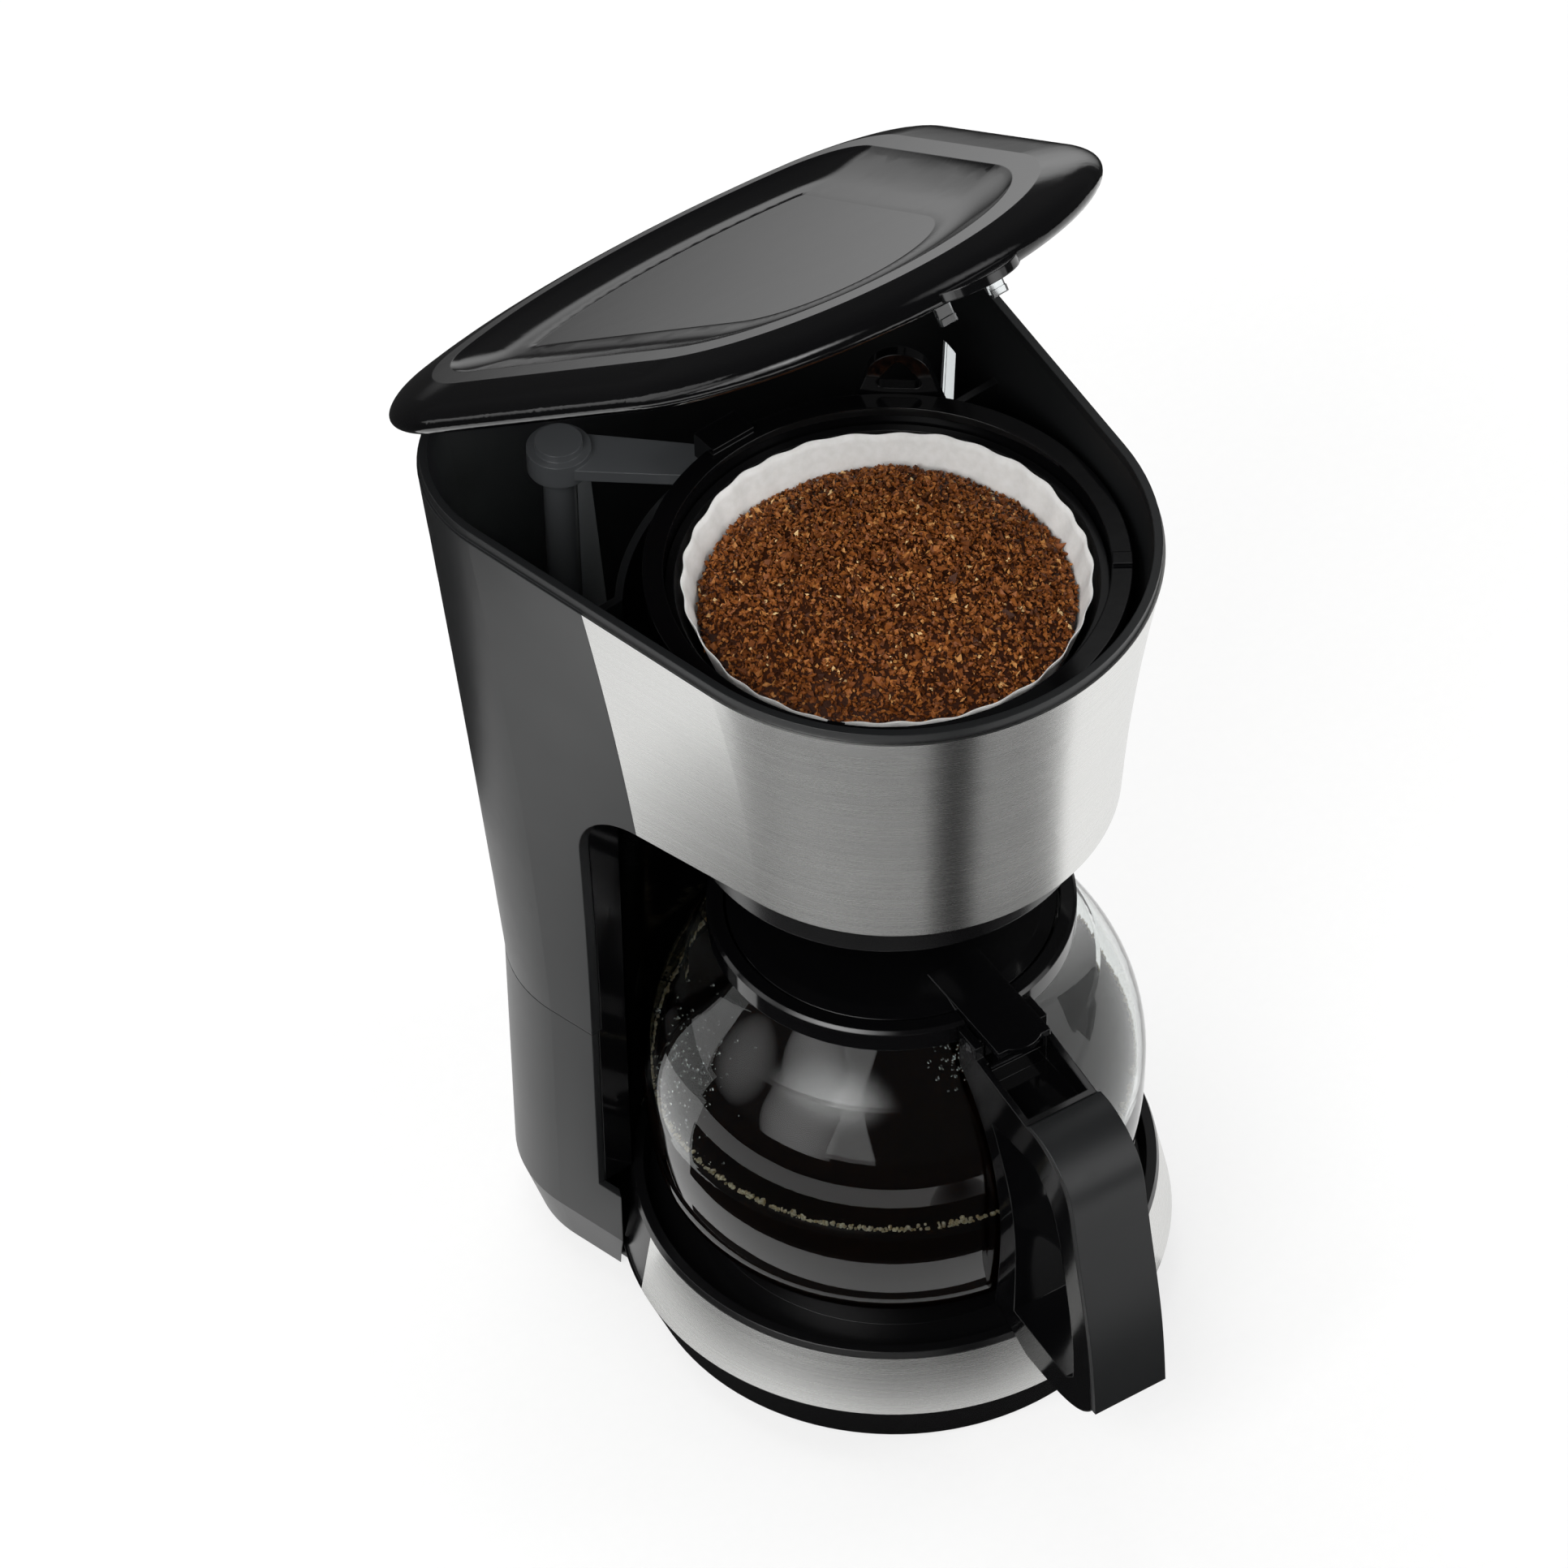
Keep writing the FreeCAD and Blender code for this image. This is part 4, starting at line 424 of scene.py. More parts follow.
@dataclass(frozen=True)
class Liquid:
    """Black coffee: clear in a spoon, but black through the width of a carafe."""

    name: str = "brewed_black_coffee"
    colour: str = "#0d0502"

    def material(self) -> bpy.types.Material:
        """Make the material: a near-black body under a wet surface with a faint swirl."""
        material, tree, shader = blank(self.name)
        swirl = add_node(tree, "TexNoise", {"Scale": per_metre(25.0), "Detail": 2.0},
                         {"Vector": place_of(tree)})
        tint = ramp(tree, swirl.outputs["Fac"], ((0.35, self.colour), (0.8, "#180a04")))
        tree.links.new(tint, shader.inputs["Base Color"])
        shader.inputs["Roughness"].default_value = 0.04
        shader.inputs["IOR"].default_value = 1.34
        shader.inputs["Specular IOR Level"].default_value = 0.05
        return material


SATIN_ABS = MouldedPlastic("spark_eroded_black_abs", "#1a1b1c", 0.38, 0.45, 0.012)
GLOSS_ABS = MouldedPlastic("mirror_polished_black_abs", "#070708", 0.09, 9.0, 0.02, uneven=0.02)
BLACK_PP = MouldedPlastic("moulded_black_polypropylene", "#0c0c0d", 0.24, 0.6, 0.008)
GREY_PP = MouldedPlastic("moulded_grey_polypropylene", "#4c4e50", 0.3, 0.6, 0.008)
LIGHT_PP = MouldedPlastic("moulded_light_grey_polypropylene", "#85888a", 0.3, 0.6, 0.008)
BLACK_NYLON = MouldedPlastic("glass_filled_black_nylon", "#121213", 0.45, 0.3, 0.02)
WHITE_NYLON = MouldedPlastic("white_nylon", "#d8d6cc", 0.4, 0.4, 0.01)
WHITE_ACETAL = MouldedPlastic("white_acetal", "#e4e3dc", 0.25, 0.8, 0.004)
BRUSHED_STAINLESS = BrushedSteel("brushed_stainless_sheet")
ZINC_STEEL = WorkedMetal("zinc_plated_steel", "#c3c6ca", "#8f9296", 0.3)
HEATER_ALLOY = WorkedMetal("extruded_aluminium", "#c9cacc", "#a3a4a6", 0.38)
SPRING_STEEL = WorkedMetal("drawn_stainless_wire", "#b8b9bb", "#8c8d90", 0.22)
PLATE_COAT = SoftPart("nonstick_coated_steel", "#111112", "#0a0a0b", 0.4, 0.3, 0.02)
RUBBER = SoftPart("moulded_black_rubber", "#1a1a1a", "#121212", 0.75, 0.5, 0.04)
SILICONE = SoftPart("translucent_silicone", "#d8d6cc", "#c9c6ba", 0.35, 1.2, 0.01, glow=0.3)
PAPER = SoftPart("bleached_filter_paper", "#fbfaf7", "#f3f2ee", 0.92, 0.7, 0.06, 2.5, glow=0.15)
CERAMIC = SoftPart("glazed_ceramic_sleeve", "#e6e2d6", "#d8d2c2", 0.3, 0.8, 0.01)
CLEAR_WINDOW = ClearPart("clear_polycarbonate", "#e8edee", 1.585, 0.05, 0.02)
GLASS = ClearPart("blown_borosilicate_glass", "#f2f5f4", 1.47, 0.0, 0.015, mirror=0.36)
RED_LENS = ClearPart("red_lamp_lens", "#c2180e", 1.585, 0.1, 0.02)
FROTH = SoftPart("coffee_froth", "#e0d6b8", "#a08a5c", 0.25, 0.4, 0.02, 1.5, glow=0.5)
WATER = ClearPart("water_drop", "#f4f7f7", 1.333, 0.02, 0.001)
GROUNDS = GroundCoffee()
COFFEE = Liquid()

Finish = (
    MouldedPlastic | BrushedSteel | WorkedMetal | ClearPart | SoftPart | GroundCoffee | Liquid
)
_MADE: dict[str, bpy.types.Material] = {}


def made(finish: Finish) -> bpy.types.Material:
    """The finish's material, made the first time that it is asked for."""
    if finish.name not in _MADE:
        _MADE[finish.name] = finish.material()
    return _MADE[finish.name]


def dress(node: str, finish: Finish) -> None:
    """Give a part whose shape is already right its finish.

    Args:
        node: the part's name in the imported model.
        finish: what it is made of.
    """
    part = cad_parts[node]
    part.data.materials.clear()
    part.data.materials.append(made(finish))
    log.info("%s: %s", node, finish.name)


# ---------------------------------------------------------------- surfaces


def surface(
    name: str,
    points: Grid,
    body: str,
    finish: Finish,
    round_rows: bool = False,
    round_columns: bool = True,
) -> bpy.types.Object:
    """Make a piece from a grid of points.

    Each four neighbouring points make one face, worked out for the whole grid at once.

    Args:
        name: the piece's name.
        points: rows x columns x 3 places, in metres.
        body: the body that it moves with.
        finish: what it is made of.
        round_rows: whether the last row joins the first.
        round_columns: whether the last column joins the first.

    Returns:
        The new piece.
    """
    rows, columns = points.shape[:2]
    number = np.arange(rows * columns).reshape(rows, columns)
    if round_rows:
        number = np.vstack([number, number[:1]])
    if round_columns:
        number = np.hstack([number, number[:, :1]])
    corners = [number[:-1, :-1], number[:-1, 1:], number[1:, 1:], number[1:, :-1]]
    faces = np.stack([c.ravel() for c in corners], axis=1)
    return piece(name, points.reshape(-1, 3), faces, body, finish)


def piece(
    name: str, places: Grid, faces: Grid, body: str, finish: Finish,
    smooth: bool = True,
) -> bpy.types.Object:
    """Make a piece from its points and faces.

    Args:
        name: the piece's name.
        places: points x 3, in metres.
        faces: faces x corners, as numbers of points.
        body: the body that it moves with.
        finish: what it is made of.
        smooth: whether its faces shade as one curved surface.

    Returns:
        The new piece, riding on its body.
    """
    mesh = bpy.data.meshes.new(name)
    mesh.from_pydata(places.tolist(), [], faces.tolist())
    mesh.polygons.foreach_set("use_smooth", np.full(len(faces), smooth))
    mesh.materials.append(made(finish))
    mesh.update()
    made_piece = bpy.data.objects.new(name, mesh)
    bpy.context.scene.collection.objects.link(made_piece)
    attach(made_piece, body)
    log.info("%s: %d faces, %s", name, len(faces), finish.name)
    return made_piece


# ---------------------------------------------------------------- the machine


@dataclass
class Housing:
    """The body shell, its steel bands, the bay behind the carafe and the tank's trim."""

    satin: tuple[str, ...] = ("upper_housing", "lower_housing")
    gloss: tuple[str, ...] = ("bay_liner",)
    dark: tuple[str, ...] = ("base_shell", "base_cover", "funnel_bottom")
    steel: tuple[str, ...] = ("head_band", "base_band")

    def dress(self) -> None:
        """Give the shell's parts their finishes."""
        for names, finish in (
            (self.satin, SATIN_ABS),
            (self.gloss, GLOSS_ABS),
            (self.dark, BLACK_PP),
            (self.steel, BRUSHED_STAINLESS),
        ):
            for name in names:
                dress(name, finish)
        dress("level_window", CLEAR_WINDOW)
        dress("gauge_strip", LIGHT_PP)
        dress("outlet_arm", GREY_PP)


@dataclass
class Lid:
    """The lid: a dished glossy cover, the liner under it, its tab, hooks and hinge pin."""

    def dress(self) -> None:
        """Give the lid's parts their finishes."""
        for name in ("lid_cover", "lid_liner", "lid_tab"):
            dress(name, GLOSS_ABS)
        dress("lid_hooks", CLEAR_WINDOW)
        dress("hinge_pin", SPRING_STEEL)


@dataclass
class Waterworks:
    """The heater, the hoses, the tank's valve and strainer, and the riser."""

    finishes: tuple[tuple[str, Finish], ...] = (
        ("warming_plate", PLATE_COAT),
        ("plate_gasket", SILICONE),
        ("heating_element", HEATER_ALLOY),
        ("water_tube", HEATER_ALLOY),
        ("element_clamp", ZINC_STEEL),
        ("clamp_screw", ZINC_STEEL),
        ("thermostat", HEATER_ALLOY),
        ("thermal_fuses", CERAMIC),
        ("cold_hose", SILICONE),
        ("riser_hose", SILICONE),
        ("check_valve", BLACK_PP),
        ("valve_ball", WHITE_ACETAL),
        ("tank_strainer", WHITE_NYLON),
        ("riser_pipe", GREY_PP),
    )

    def dress(self) -> None:
        """Give the water path its finishes."""
        for name, finish in self.finishes:
            dress(name, finish)


@dataclass
class Fittings:
    """Feet, screws, the switch and what the mains lead plugs into."""

    finishes: tuple[tuple[str, Finish], ...] = (
        ("rubber_feet", RUBBER),
        ("cover_screws", ZINC_STEEL),
        ("switch_housing", BLACK_NYLON),
        ("switch_rocker", BLACK_NYLON),
        ("switch_lamp", RED_LENS),
        ("cord_gland", RUBBER),
        ("terminal_block", WHITE_NYLON),
        ("cord_clamp", BLACK_NYLON),
    )

    def dress(self) -> None:
        """Give the fittings their finishes."""
        for name, finish in self.finishes:
            dress(name, finish)


@dataclass
class BrewBasket:
    """The carrier ring, the filter basket, the paper, the coffee and the drip stop."""

    black: tuple[str, ...] = ("filter_basket", "drip_plunger", "plunger_guide")
    gloss: tuple[str, ...] = ("basket_carrier", "basket_loop")
    pleats: int = 30
    pleat_depth: float = 0.7 * MM
    paper_thick: float = 0.25 * MM
    heap_edge: float = 54.3 * MM
    heap_low: float = 279.5 * MM
    heap_rise: float = 13.5 * MM
    flakes: int = 14000
    flake_half: float = 0.7 * MM

    def dress(self) -> None:
        """Give the basket's parts their finishes and make the paper and the coffee."""
        for names, finish in ((self.black, BLACK_PP), (self.gloss, GLOSS_ABS)):
            for name in names:
                dress(name, finish)
        dress("drip_seal", SILICONE)
        dress("drip_spring", SPRING_STEEL)
        self.make_paper()
        self.make_heap()
        self.make_flakes()

    def make_paper(self) -> None:
        """Make the crimped paper filter.

        At height share h and angle a the wall's radius runs straight from the foot's to the
        rim's, less a pleat: half the pleat depth, growing with h, times one minus the
        cosine of a times the number of pleats, with the angle swayed a little so that no
        two pleats are alike. The rim waves by under a millimetre. Below the wall, rings
        shrink to the middle of a flat foot.
        """
        low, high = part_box("paper_filter")
        places = node_points("paper_filter")
        reach = np.hypot(places[:, 0], places[:, 1])
        foot = reach[places[:, 2] < low.z + 1.5 * MM].max() - 0.3 * MM
        rim = reach.max() - 0.2 * MM
        share, angle = np.meshgrid(np.linspace(0, 1, 26),
                                   np.linspace(0, 2 * np.pi, self.pleats * 12, endpoint=False),
                                   indexing="ij")
        sway = 0.5 * np.sin(3 * angle + 0.7) + 0.4 * np.sin(7 * angle + 2.0)
        pleat = 0.5 * (1 - np.cos(self.pleats * angle + sway)) * (0.25 + 0.75 * share)
        radius = foot + (rim - foot) * share - self.pleat_depth * pleat
        wave = 0.5 * np.sin(5 * angle) + 0.35 * np.sin(11 * angle + 1.1)
        height = low.z + (high.z - low.z + wave * MM * share**6) * share
        wall = np.stack([radius * np.cos(angle), radius * np.sin(angle), height], axis=-1)
        shrink = np.linspace(0.0, 1.0, 6)[:-1, None, None]
        floor = wall[:1] * np.array([1.0, 1.0, 0.0]) * shrink
        floor[..., 2] = low.z
        paper = surface("crimped_paper_filter", np.concatenate([floor, wall]), "basket",
                        PAPER)
        thicken(paper, self.paper_thick)
        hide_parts("paper_filter")

    def heap_height(self, across: Grid, along: Grid) -> Grid:
        """Height of the heap.

        It is a dome, one minus the squared share of the edge's radius to the power 0.8,
        with three slow waves crossed over it, because spooned grounds never lie even.

        Args:
            across: places along X, in metres.
            along: places along Y.

        Returns:
            The height at each place.
        """
        share = np.clip(np.hypot(across, along) / self.heap_edge, 0.0, 1.0)
        waves = (
            np.sin(across * 95 + 1.2) * np.cos(along * 80)
            + 0.6 * np.sin(along * 170 + across * 60)
            + 0.4 * np.cos(across * 260 - along * 210)
        )
        return self.heap_low + self.heap_rise * (1 - share**2) ** 0.8 + 0.55 * MM * waves

    def make_heap(self) -> None:
        """Make the bed that the flakes lie on: rings out from the middle, on the heap."""
        share, angle = np.meshgrid(np.linspace(0.0, 1.0, 40) ** 0.8,
                                   np.linspace(0, 2 * np.pi, 160, endpoint=False),
                                   indexing="ij")
        across = share * self.heap_edge * np.cos(angle)
        along = share * self.heap_edge * np.sin(angle)
        height = self.heap_height(across, along) - 0.5 * MM
        # The bed has no roast attribute, so it takes the darkest brown: painted shade between the
        # flakes.
        bed = surface("coffee_bed", np.stack([across, along, height], axis=-1), "basket",
                      GROUNDS)
        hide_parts("ground_coffee")

    def make_flakes(self) -> None:
        """Scatter angular flakes over the heap.

        Each is a skewed eight-sided crystal: six points on its own three axes, with random
        lengths, turned by a random turn and set at a random place on the heap.
        """
        chance = np.random.default_rng(7)
        count = self.flakes
        radius = self.heap_edge * 1.006 * np.sqrt(chance.random(count))
        angle = 2 * np.pi * chance.random(count)
        across, along = radius * np.cos(angle), radius * np.sin(angle)
        middle = np.stack([across, along, self.heap_height(across, along)], axis=1)
        middle[:, 2] += chance.normal(0.0, 0.35 * MM, count)
        size = self.flake_half * np.exp(chance.normal(0.0, 0.34, count))
        corners = np.array([[1, 0, 0], [-1, 0, 0], [0, 1, 0], [0, -1, 0], [0, 0, 1], [0, 0, -1]],
                           float)
        lengths = chance.uniform([0.8, 0.55, 0.25], [1.35, 1.0, 0.6], (count, 3))
        own = corners[None] * lengths[:, None] + chance.normal(0, 0.16, (count, 6, 3))
        own = np.einsum("nij,nkj->nki", random_turns(chance, count), own)
        places = middle[:, None] + own * size[:, None, None]
        sides = np.array([[0, 2, 4], [2, 1, 4], [1, 3, 4], [3, 0, 4],
                          [2, 0, 5], [1, 2, 5], [3, 1, 5], [0, 3, 5]])
        faces = (sides[None] + 6 * np.arange(count)[:, None, None]).reshape(-1, 3)
        flakes = piece("coffee_flakes", places.reshape(-1, 3), faces, "basket", GROUNDS,
                       smooth=False)
        roast = np.clip(chance.normal(0.46, 0.22, count), 0.02, 1.0)
        stored = flakes.data.attributes.new("roast", "FLOAT", "POINT")
        stored.data.foreach_set("value", np.repeat(roast, 6).astype(np.float32))


@dataclass(frozen=True)
class DropPatch:
    """A patch of drops: its middle's angle and height, its spread in each, and its count."""

    angle_deg: float
    spread_deg: float
    height_mm: float
    spread_mm: float
    count: int


@dataclass
class Carafe:
    """The glass carafe with its collar, lid, handle, the coffee in it and its froth."""

    wetting: float = 0.34 * MM
    froth_bubbles: int = 1300
    froth_spread: float = 1.5 * MM
    bubble_half: float = 0.48 * MM
    wall_gap: float = 0.15 * MM
    turn_steps: int = 160
    drop_half: float = 0.42 * MM
    drop_heights_mm: tuple[float, float] = (93.0, 143.0)
    drops: tuple[DropPatch, ...] = (
        DropPatch(166.0, 9.0, 112.0, 12.0, 170),
        DropPatch(257.0, 7.0, 137.0, 3.5, 90),
    )

    def dress(self) -> None:
        """Give the carafe's parts their finishes and make the froth and drops."""
        for name in ("carafe_collar", "carafe_lid", "carafe_handle"):
            dress(name, GLOSS_ABS)
        dress("handle_strap", SATIN_ABS)
        dress("carafe_lid_pin", SPRING_STEEL)
        dress("carafe_glass", GLASS)
        self.make_coffee()
        self.make_froth()
        self.make_drops()

    def make_coffee(self) -> None:
        """Make the coffee, wetting the glass.

        It is a profile turned about the axis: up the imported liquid's own wall, each point
        moved out by the wetting gap so that no air is left between it and the glass, and
        closed over the top and the foot.
        """
        places = node_points("brewed_coffee")
        reach = np.hypot(places[:, 0], places[:, 1])
        heights = np.unique(places[:, 2].round(5))
        level = 0.02 * MM
        wall = np.array([reach[np.abs(places[:, 2] - h) < level].max() for h in heights])
        outer = np.stack([wall + self.wetting, heights], axis=1)
        outer[:-1, 1] -= self.wetting * np.linspace(1.0, 0.0, len(heights) - 1)
        shrink = np.array([0.0, 0.5, 0.96])[:, None]
        across, up = np.array([1.0, 0.0]), np.array([0.0, 1.0])
        foot = across * outer[0] * shrink + up * outer[0]
        cover = across * outer[-1] * shrink[::-1] + up * outer[-1]
        profile = np.concatenate([foot, outer, cover])
        turned = turn_profile(profile, self.turn_steps)
        coffee = surface("black_coffee", turned, "carafe", COFFEE)
        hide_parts("brewed_coffee")

    def make_froth(self) -> None:
        """Make the thin ring of froth where the coffee meets the glass."""
        chance = np.random.default_rng(11)
        count = self.froth_bubbles
        angle = 2 * np.pi * chance.random(count)
        size = self.bubble_half * np.exp(chance.normal(0.0, 0.3, count))
        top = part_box("brewed_coffee")[1].z
        height = top + size * 0.4 + np.abs(chance.normal(0, self.froth_spread, count)) * 0.5
        radius = inner_radius("carafe_glass", height) - size - self.wall_gap
        bubbles("coffee_froth", radius, angle, height, size, FROTH)

    def make_drops(self) -> None:
        """Make the small drops that steam leaves on the glass above the coffee.

        Each group is drawn about an angle and a height, with its own spread in both.
        """
        chance = np.random.default_rng(23)
        parts = []
        for patch in self.drops:
            size = self.drop_half * np.exp(chance.normal(0.0, 0.35, patch.count))
            around = np.radians(chance.normal(patch.angle_deg, patch.spread_deg, patch.count))
            above = chance.normal(patch.height_mm, patch.spread_mm, patch.count)
            above = np.clip(above, *self.drop_heights_mm) * MM
            radius = inner_radius("carafe_glass", above) - size - self.wall_gap
            parts.append((radius, around, above, size))
        radius, around, above, size = (np.concatenate(values) for values in zip(*parts))
        bubbles("steam_drops", radius, around, above, size, WATER)


def turn_profile(profile: Grid, steps: int) -> Grid:
    """Turn a profile about the upright axis.

    Each point goes round at its own radius and height, in equal steps.

    Args:
        profile: points x 2, radius and height in metres.
        steps: how many steps make the whole turn.

    Returns:
        points x steps x 3 places.
    """
    angle = np.linspace(0, 2 * np.pi, steps, endpoint=False)
    radius, height = profile[:, :1], profile[:, 1:]
    return np.stack([radius * np.cos(angle), radius * np.sin(angle),
                     np.broadcast_to(height, (len(profile), steps))], axis=-1)


def node_points(node: str) -> Grid:
    """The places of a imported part's points, points x 3, in metres."""
    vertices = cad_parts[node].data.vertices
    places = np.empty(len(vertices) * 3, np.float32)
    vertices.foreach_get("co", places)
    return places.reshape(-1, 3).astype(float)


def inner_radius(node: str, height: Grid) -> Grid:
    """How far a turned part's inner wall is from the axis at each height.

    The part's points are sorted into bands by height, and each band's least radius is
    taken and joined by straight runs.

    Args:
        node: a part turned about the upright axis.
        height: heights in metres.

    Returns:
        The inner radius at each height.
    """
    places = node_points(node)
    reach = np.hypot(places[:, 0], places[:, 1])
    edges = np.arange(0.085, 0.1475, 0.0025)
    band = np.digitize(places[:, 2], edges)
    found = np.array([reach[band == b].min(initial=np.inf) for b in range(1, len(edges))])
    middles = (edges[:-1] + edges[1:]) / 2
    real = np.isfinite(found)
    return np.interp(height, middles[real], found[real])


def random_turns(chance: np.random.Generator, count: int) -> Grid:
    """Turns spread evenly over every direction.

    Each comes from four normal numbers made one long, read as a quaternion.

    Args:
        chance: where the numbers come from.
        count: how many turns.

    Returns:
        count x 3 x 3 turns.
    """
    four = chance.normal(size=(count, 4))
    w, x, y, z = (four / np.linalg.norm(four, axis=1, keepdims=True)).T
    return np.stack([
        np.stack([1 - 2 * (y * y + z * z), 2 * (x * y - w * z), 2 * (x * z + w * y)], 1),
        np.stack([2 * (x * y + w * z), 1 - 2 * (x * x + z * z), 2 * (y * z - w * x)], 1),
        np.stack([2 * (x * z - w * y), 2 * (y * z + w * x), 1 - 2 * (x * x + y * y)], 1),
    ], 1)


def bubbles(
    name: str, radius: Grid, angle: Grid, height: Grid, size: Grid, finish: "Finish"
) -> None:
    """Make many small balls as one piece of the carafe, each of twenty faces.

    Args:
        name: the piece's name.
        radius: how far each ball's middle is from the axis, in metres.
        angle: its angle about the axis, in radians.
        height: its height.
        size: its radius.
        finish: what they are made of.
    """
    gold = (1 + math.sqrt(5)) / 2
    ring = np.array([[0, 1, gold], [0, -1, gold], [0, 1, -gold], [0, -1, -gold]])
    ball = np.concatenate([np.roll(ring, turn, axis=1) for turn in range(3)])
    ball = ball / np.linalg.norm(ball, axis=1, keepdims=True)
    near = np.linalg.norm(ball[:, None] - ball[None], axis=2) < 1.1
    sides = np.array([(i, j, k) for i in range(12) for j in range(i) for k in range(j)
                      if near[i, j] and near[j, k] and near[i, k]])
    turned = np.einsum("fi,fi->f", np.cross(ball[sides[:, 1]] - ball[sides[:, 0]],
                                            ball[sides[:, 2]] - ball[sides[:, 0]]),
                       ball[sides].sum(1)) < 0
    sides[turned] = sides[turned][:, ::-1]
    middle = np.stack([radius * np.cos(angle), radius * np.sin(angle), height], axis=1)
    places = middle[:, None] + ball[None] * size[:, None, None]
    faces = (sides[None] + 12 * np.arange(len(size))[:, None, None]).reshape(-1, 3)
    piece(name, places.reshape(-1, 3), faces, "carafe", finish)


def thicken(sheet: bpy.types.Object, thick: float) -> None:
    """Give a sheet its thickness, half to each side.

    Args:
        sheet: the piece.
        thick: its thickness in metres.
    """
    wall = sheet.modifiers.new("thickness", "SOLIDIFY")
    wall.thickness, wall.offset = thick, 0.0


# ---------------------------------------------------------------- the studio


@dataclass(frozen=True)
class SoftBox:
    """A lamp behind a diffuser, which no mirrored or bent ray sees: its place, size, watts."""

    name: str
    place: tuple[float, float, float]
    size: tuple[float, float]
    watts: float
    aim: tuple[float, float, float] = (0.0, 0.0, 0.16)

    def build(self) -> None:
        """Stand the lamp in its place, facing what it lights."""
        lamp = bpy.data.lights.new(self.name, "AREA")
        lamp.shape, lamp.energy = "RECTANGLE", self.watts
        lamp.size, lamp.size_y = self.size
        stand = bpy.data.objects.new(self.name, lamp)
        bpy.context.scene.collection.objects.link(stand)
        stand.location = self.place
        facing = Vector(self.aim) - Vector(self.place)
        stand.rotation_euler = facing.to_track_quat("-Z", "Y").to_euler()
        stand.visible_glossy = False
        stand.visible_transmission = False


@dataclass(frozen=True)
class Card:
    """A card that only mirrored rays see, which paints a reflection: a dark flag paints a dark
    reflection, and a glowing card paints a highlight but lights nothing.

    One marked bent is seen by rays that come out of glass too.

    Its middle has the full shade, which falls off to its edge as
    (1 - (across^2 + up^2)) to the power of the softness, with both measured from the
    middle as shares of the card's half size. A flag has no fall-off.
    """

    name: str
    place: tuple[float, float, float]
    size: tuple[float, float]
    strength: float
    softness: float = 0.0
    aim: tuple[float, float, float] = (0.0, 0.0, 0.16)
    turn_deg: float = 0.0
    bent: bool = False

    def build(self) -> None:
        """Stand the card in its place, facing its aim."""
        half_wide, half_high = self.size[0] / 2, self.size[1] / 2
        mesh = bpy.data.meshes.new(self.name)
        mesh.from_pydata([(-half_wide, -half_high, 0), (half_wide, -half_high, 0),
                          (half_wide, half_high, 0), (-half_wide, half_high, 0)],
                         [], [(0, 1, 2, 3)])
        card = bpy.data.objects.new(self.name, mesh)
        bpy.context.scene.collection.objects.link(card)
        card.location = self.place
        facing = Vector(self.aim) - Vector(self.place)
        turn = Matrix.Rotation(math.radians(self.turn_deg), 3, "Z").to_quaternion()
        card.rotation_euler = (facing.to_track_quat("Z", "Y") @ turn).to_euler()
        for sight in ("camera", "diffuse", "shadow", "volume_scatter"):
            setattr(card, "visible_" + sight, False)
        card.visible_transmission = self.bent
        mesh.materials.append(self.material(half_wide, half_high))

    def material(self, half_wide: float, half_high: float) -> bpy.types.Material:
        """Make the card's glow, which paints its reflection.

        Args:
            half_wide: half the card's width.
            half_high: half its height.

        Returns:
            A material that glows at the card's strength, and is clear where that is none.
        """
        material, tree, shader = blank(self.name + "_card")
        tree.nodes.remove(shader)
        where = place_of(tree, (1 / half_wide, 1 / half_high, 0.0))
        away = add_node(tree, "VectorMath", {"operation": "DOT_PRODUCT"}, {0: where, 1: where})
        near = add_node(tree, "Math", {"operation": "SUBTRACT", 0: 1.0, "use_clamp": True},
                        {1: away.outputs["Value"]})
        fall = add_node(tree, "Math", {"operation": "POWER", 1: self.softness},
                        {0: near.outputs[0]})
        glow = add_node(tree, "Emission", {"Strength": self.strength})
        clear = add_node(tree, "BsdfTransparent")
        mix = add_node(tree, "MixShader", {"Fac": 1.0}, {1: clear.outputs[0],
                                                         2: glow.outputs[0]})
        if self.softness:
            tree.links.new(fall.outputs[0], mix.inputs["Fac"])
        tree.links.new(mix.outputs[0], tree.nodes["Material Output"].inputs["Surface"])
        return material


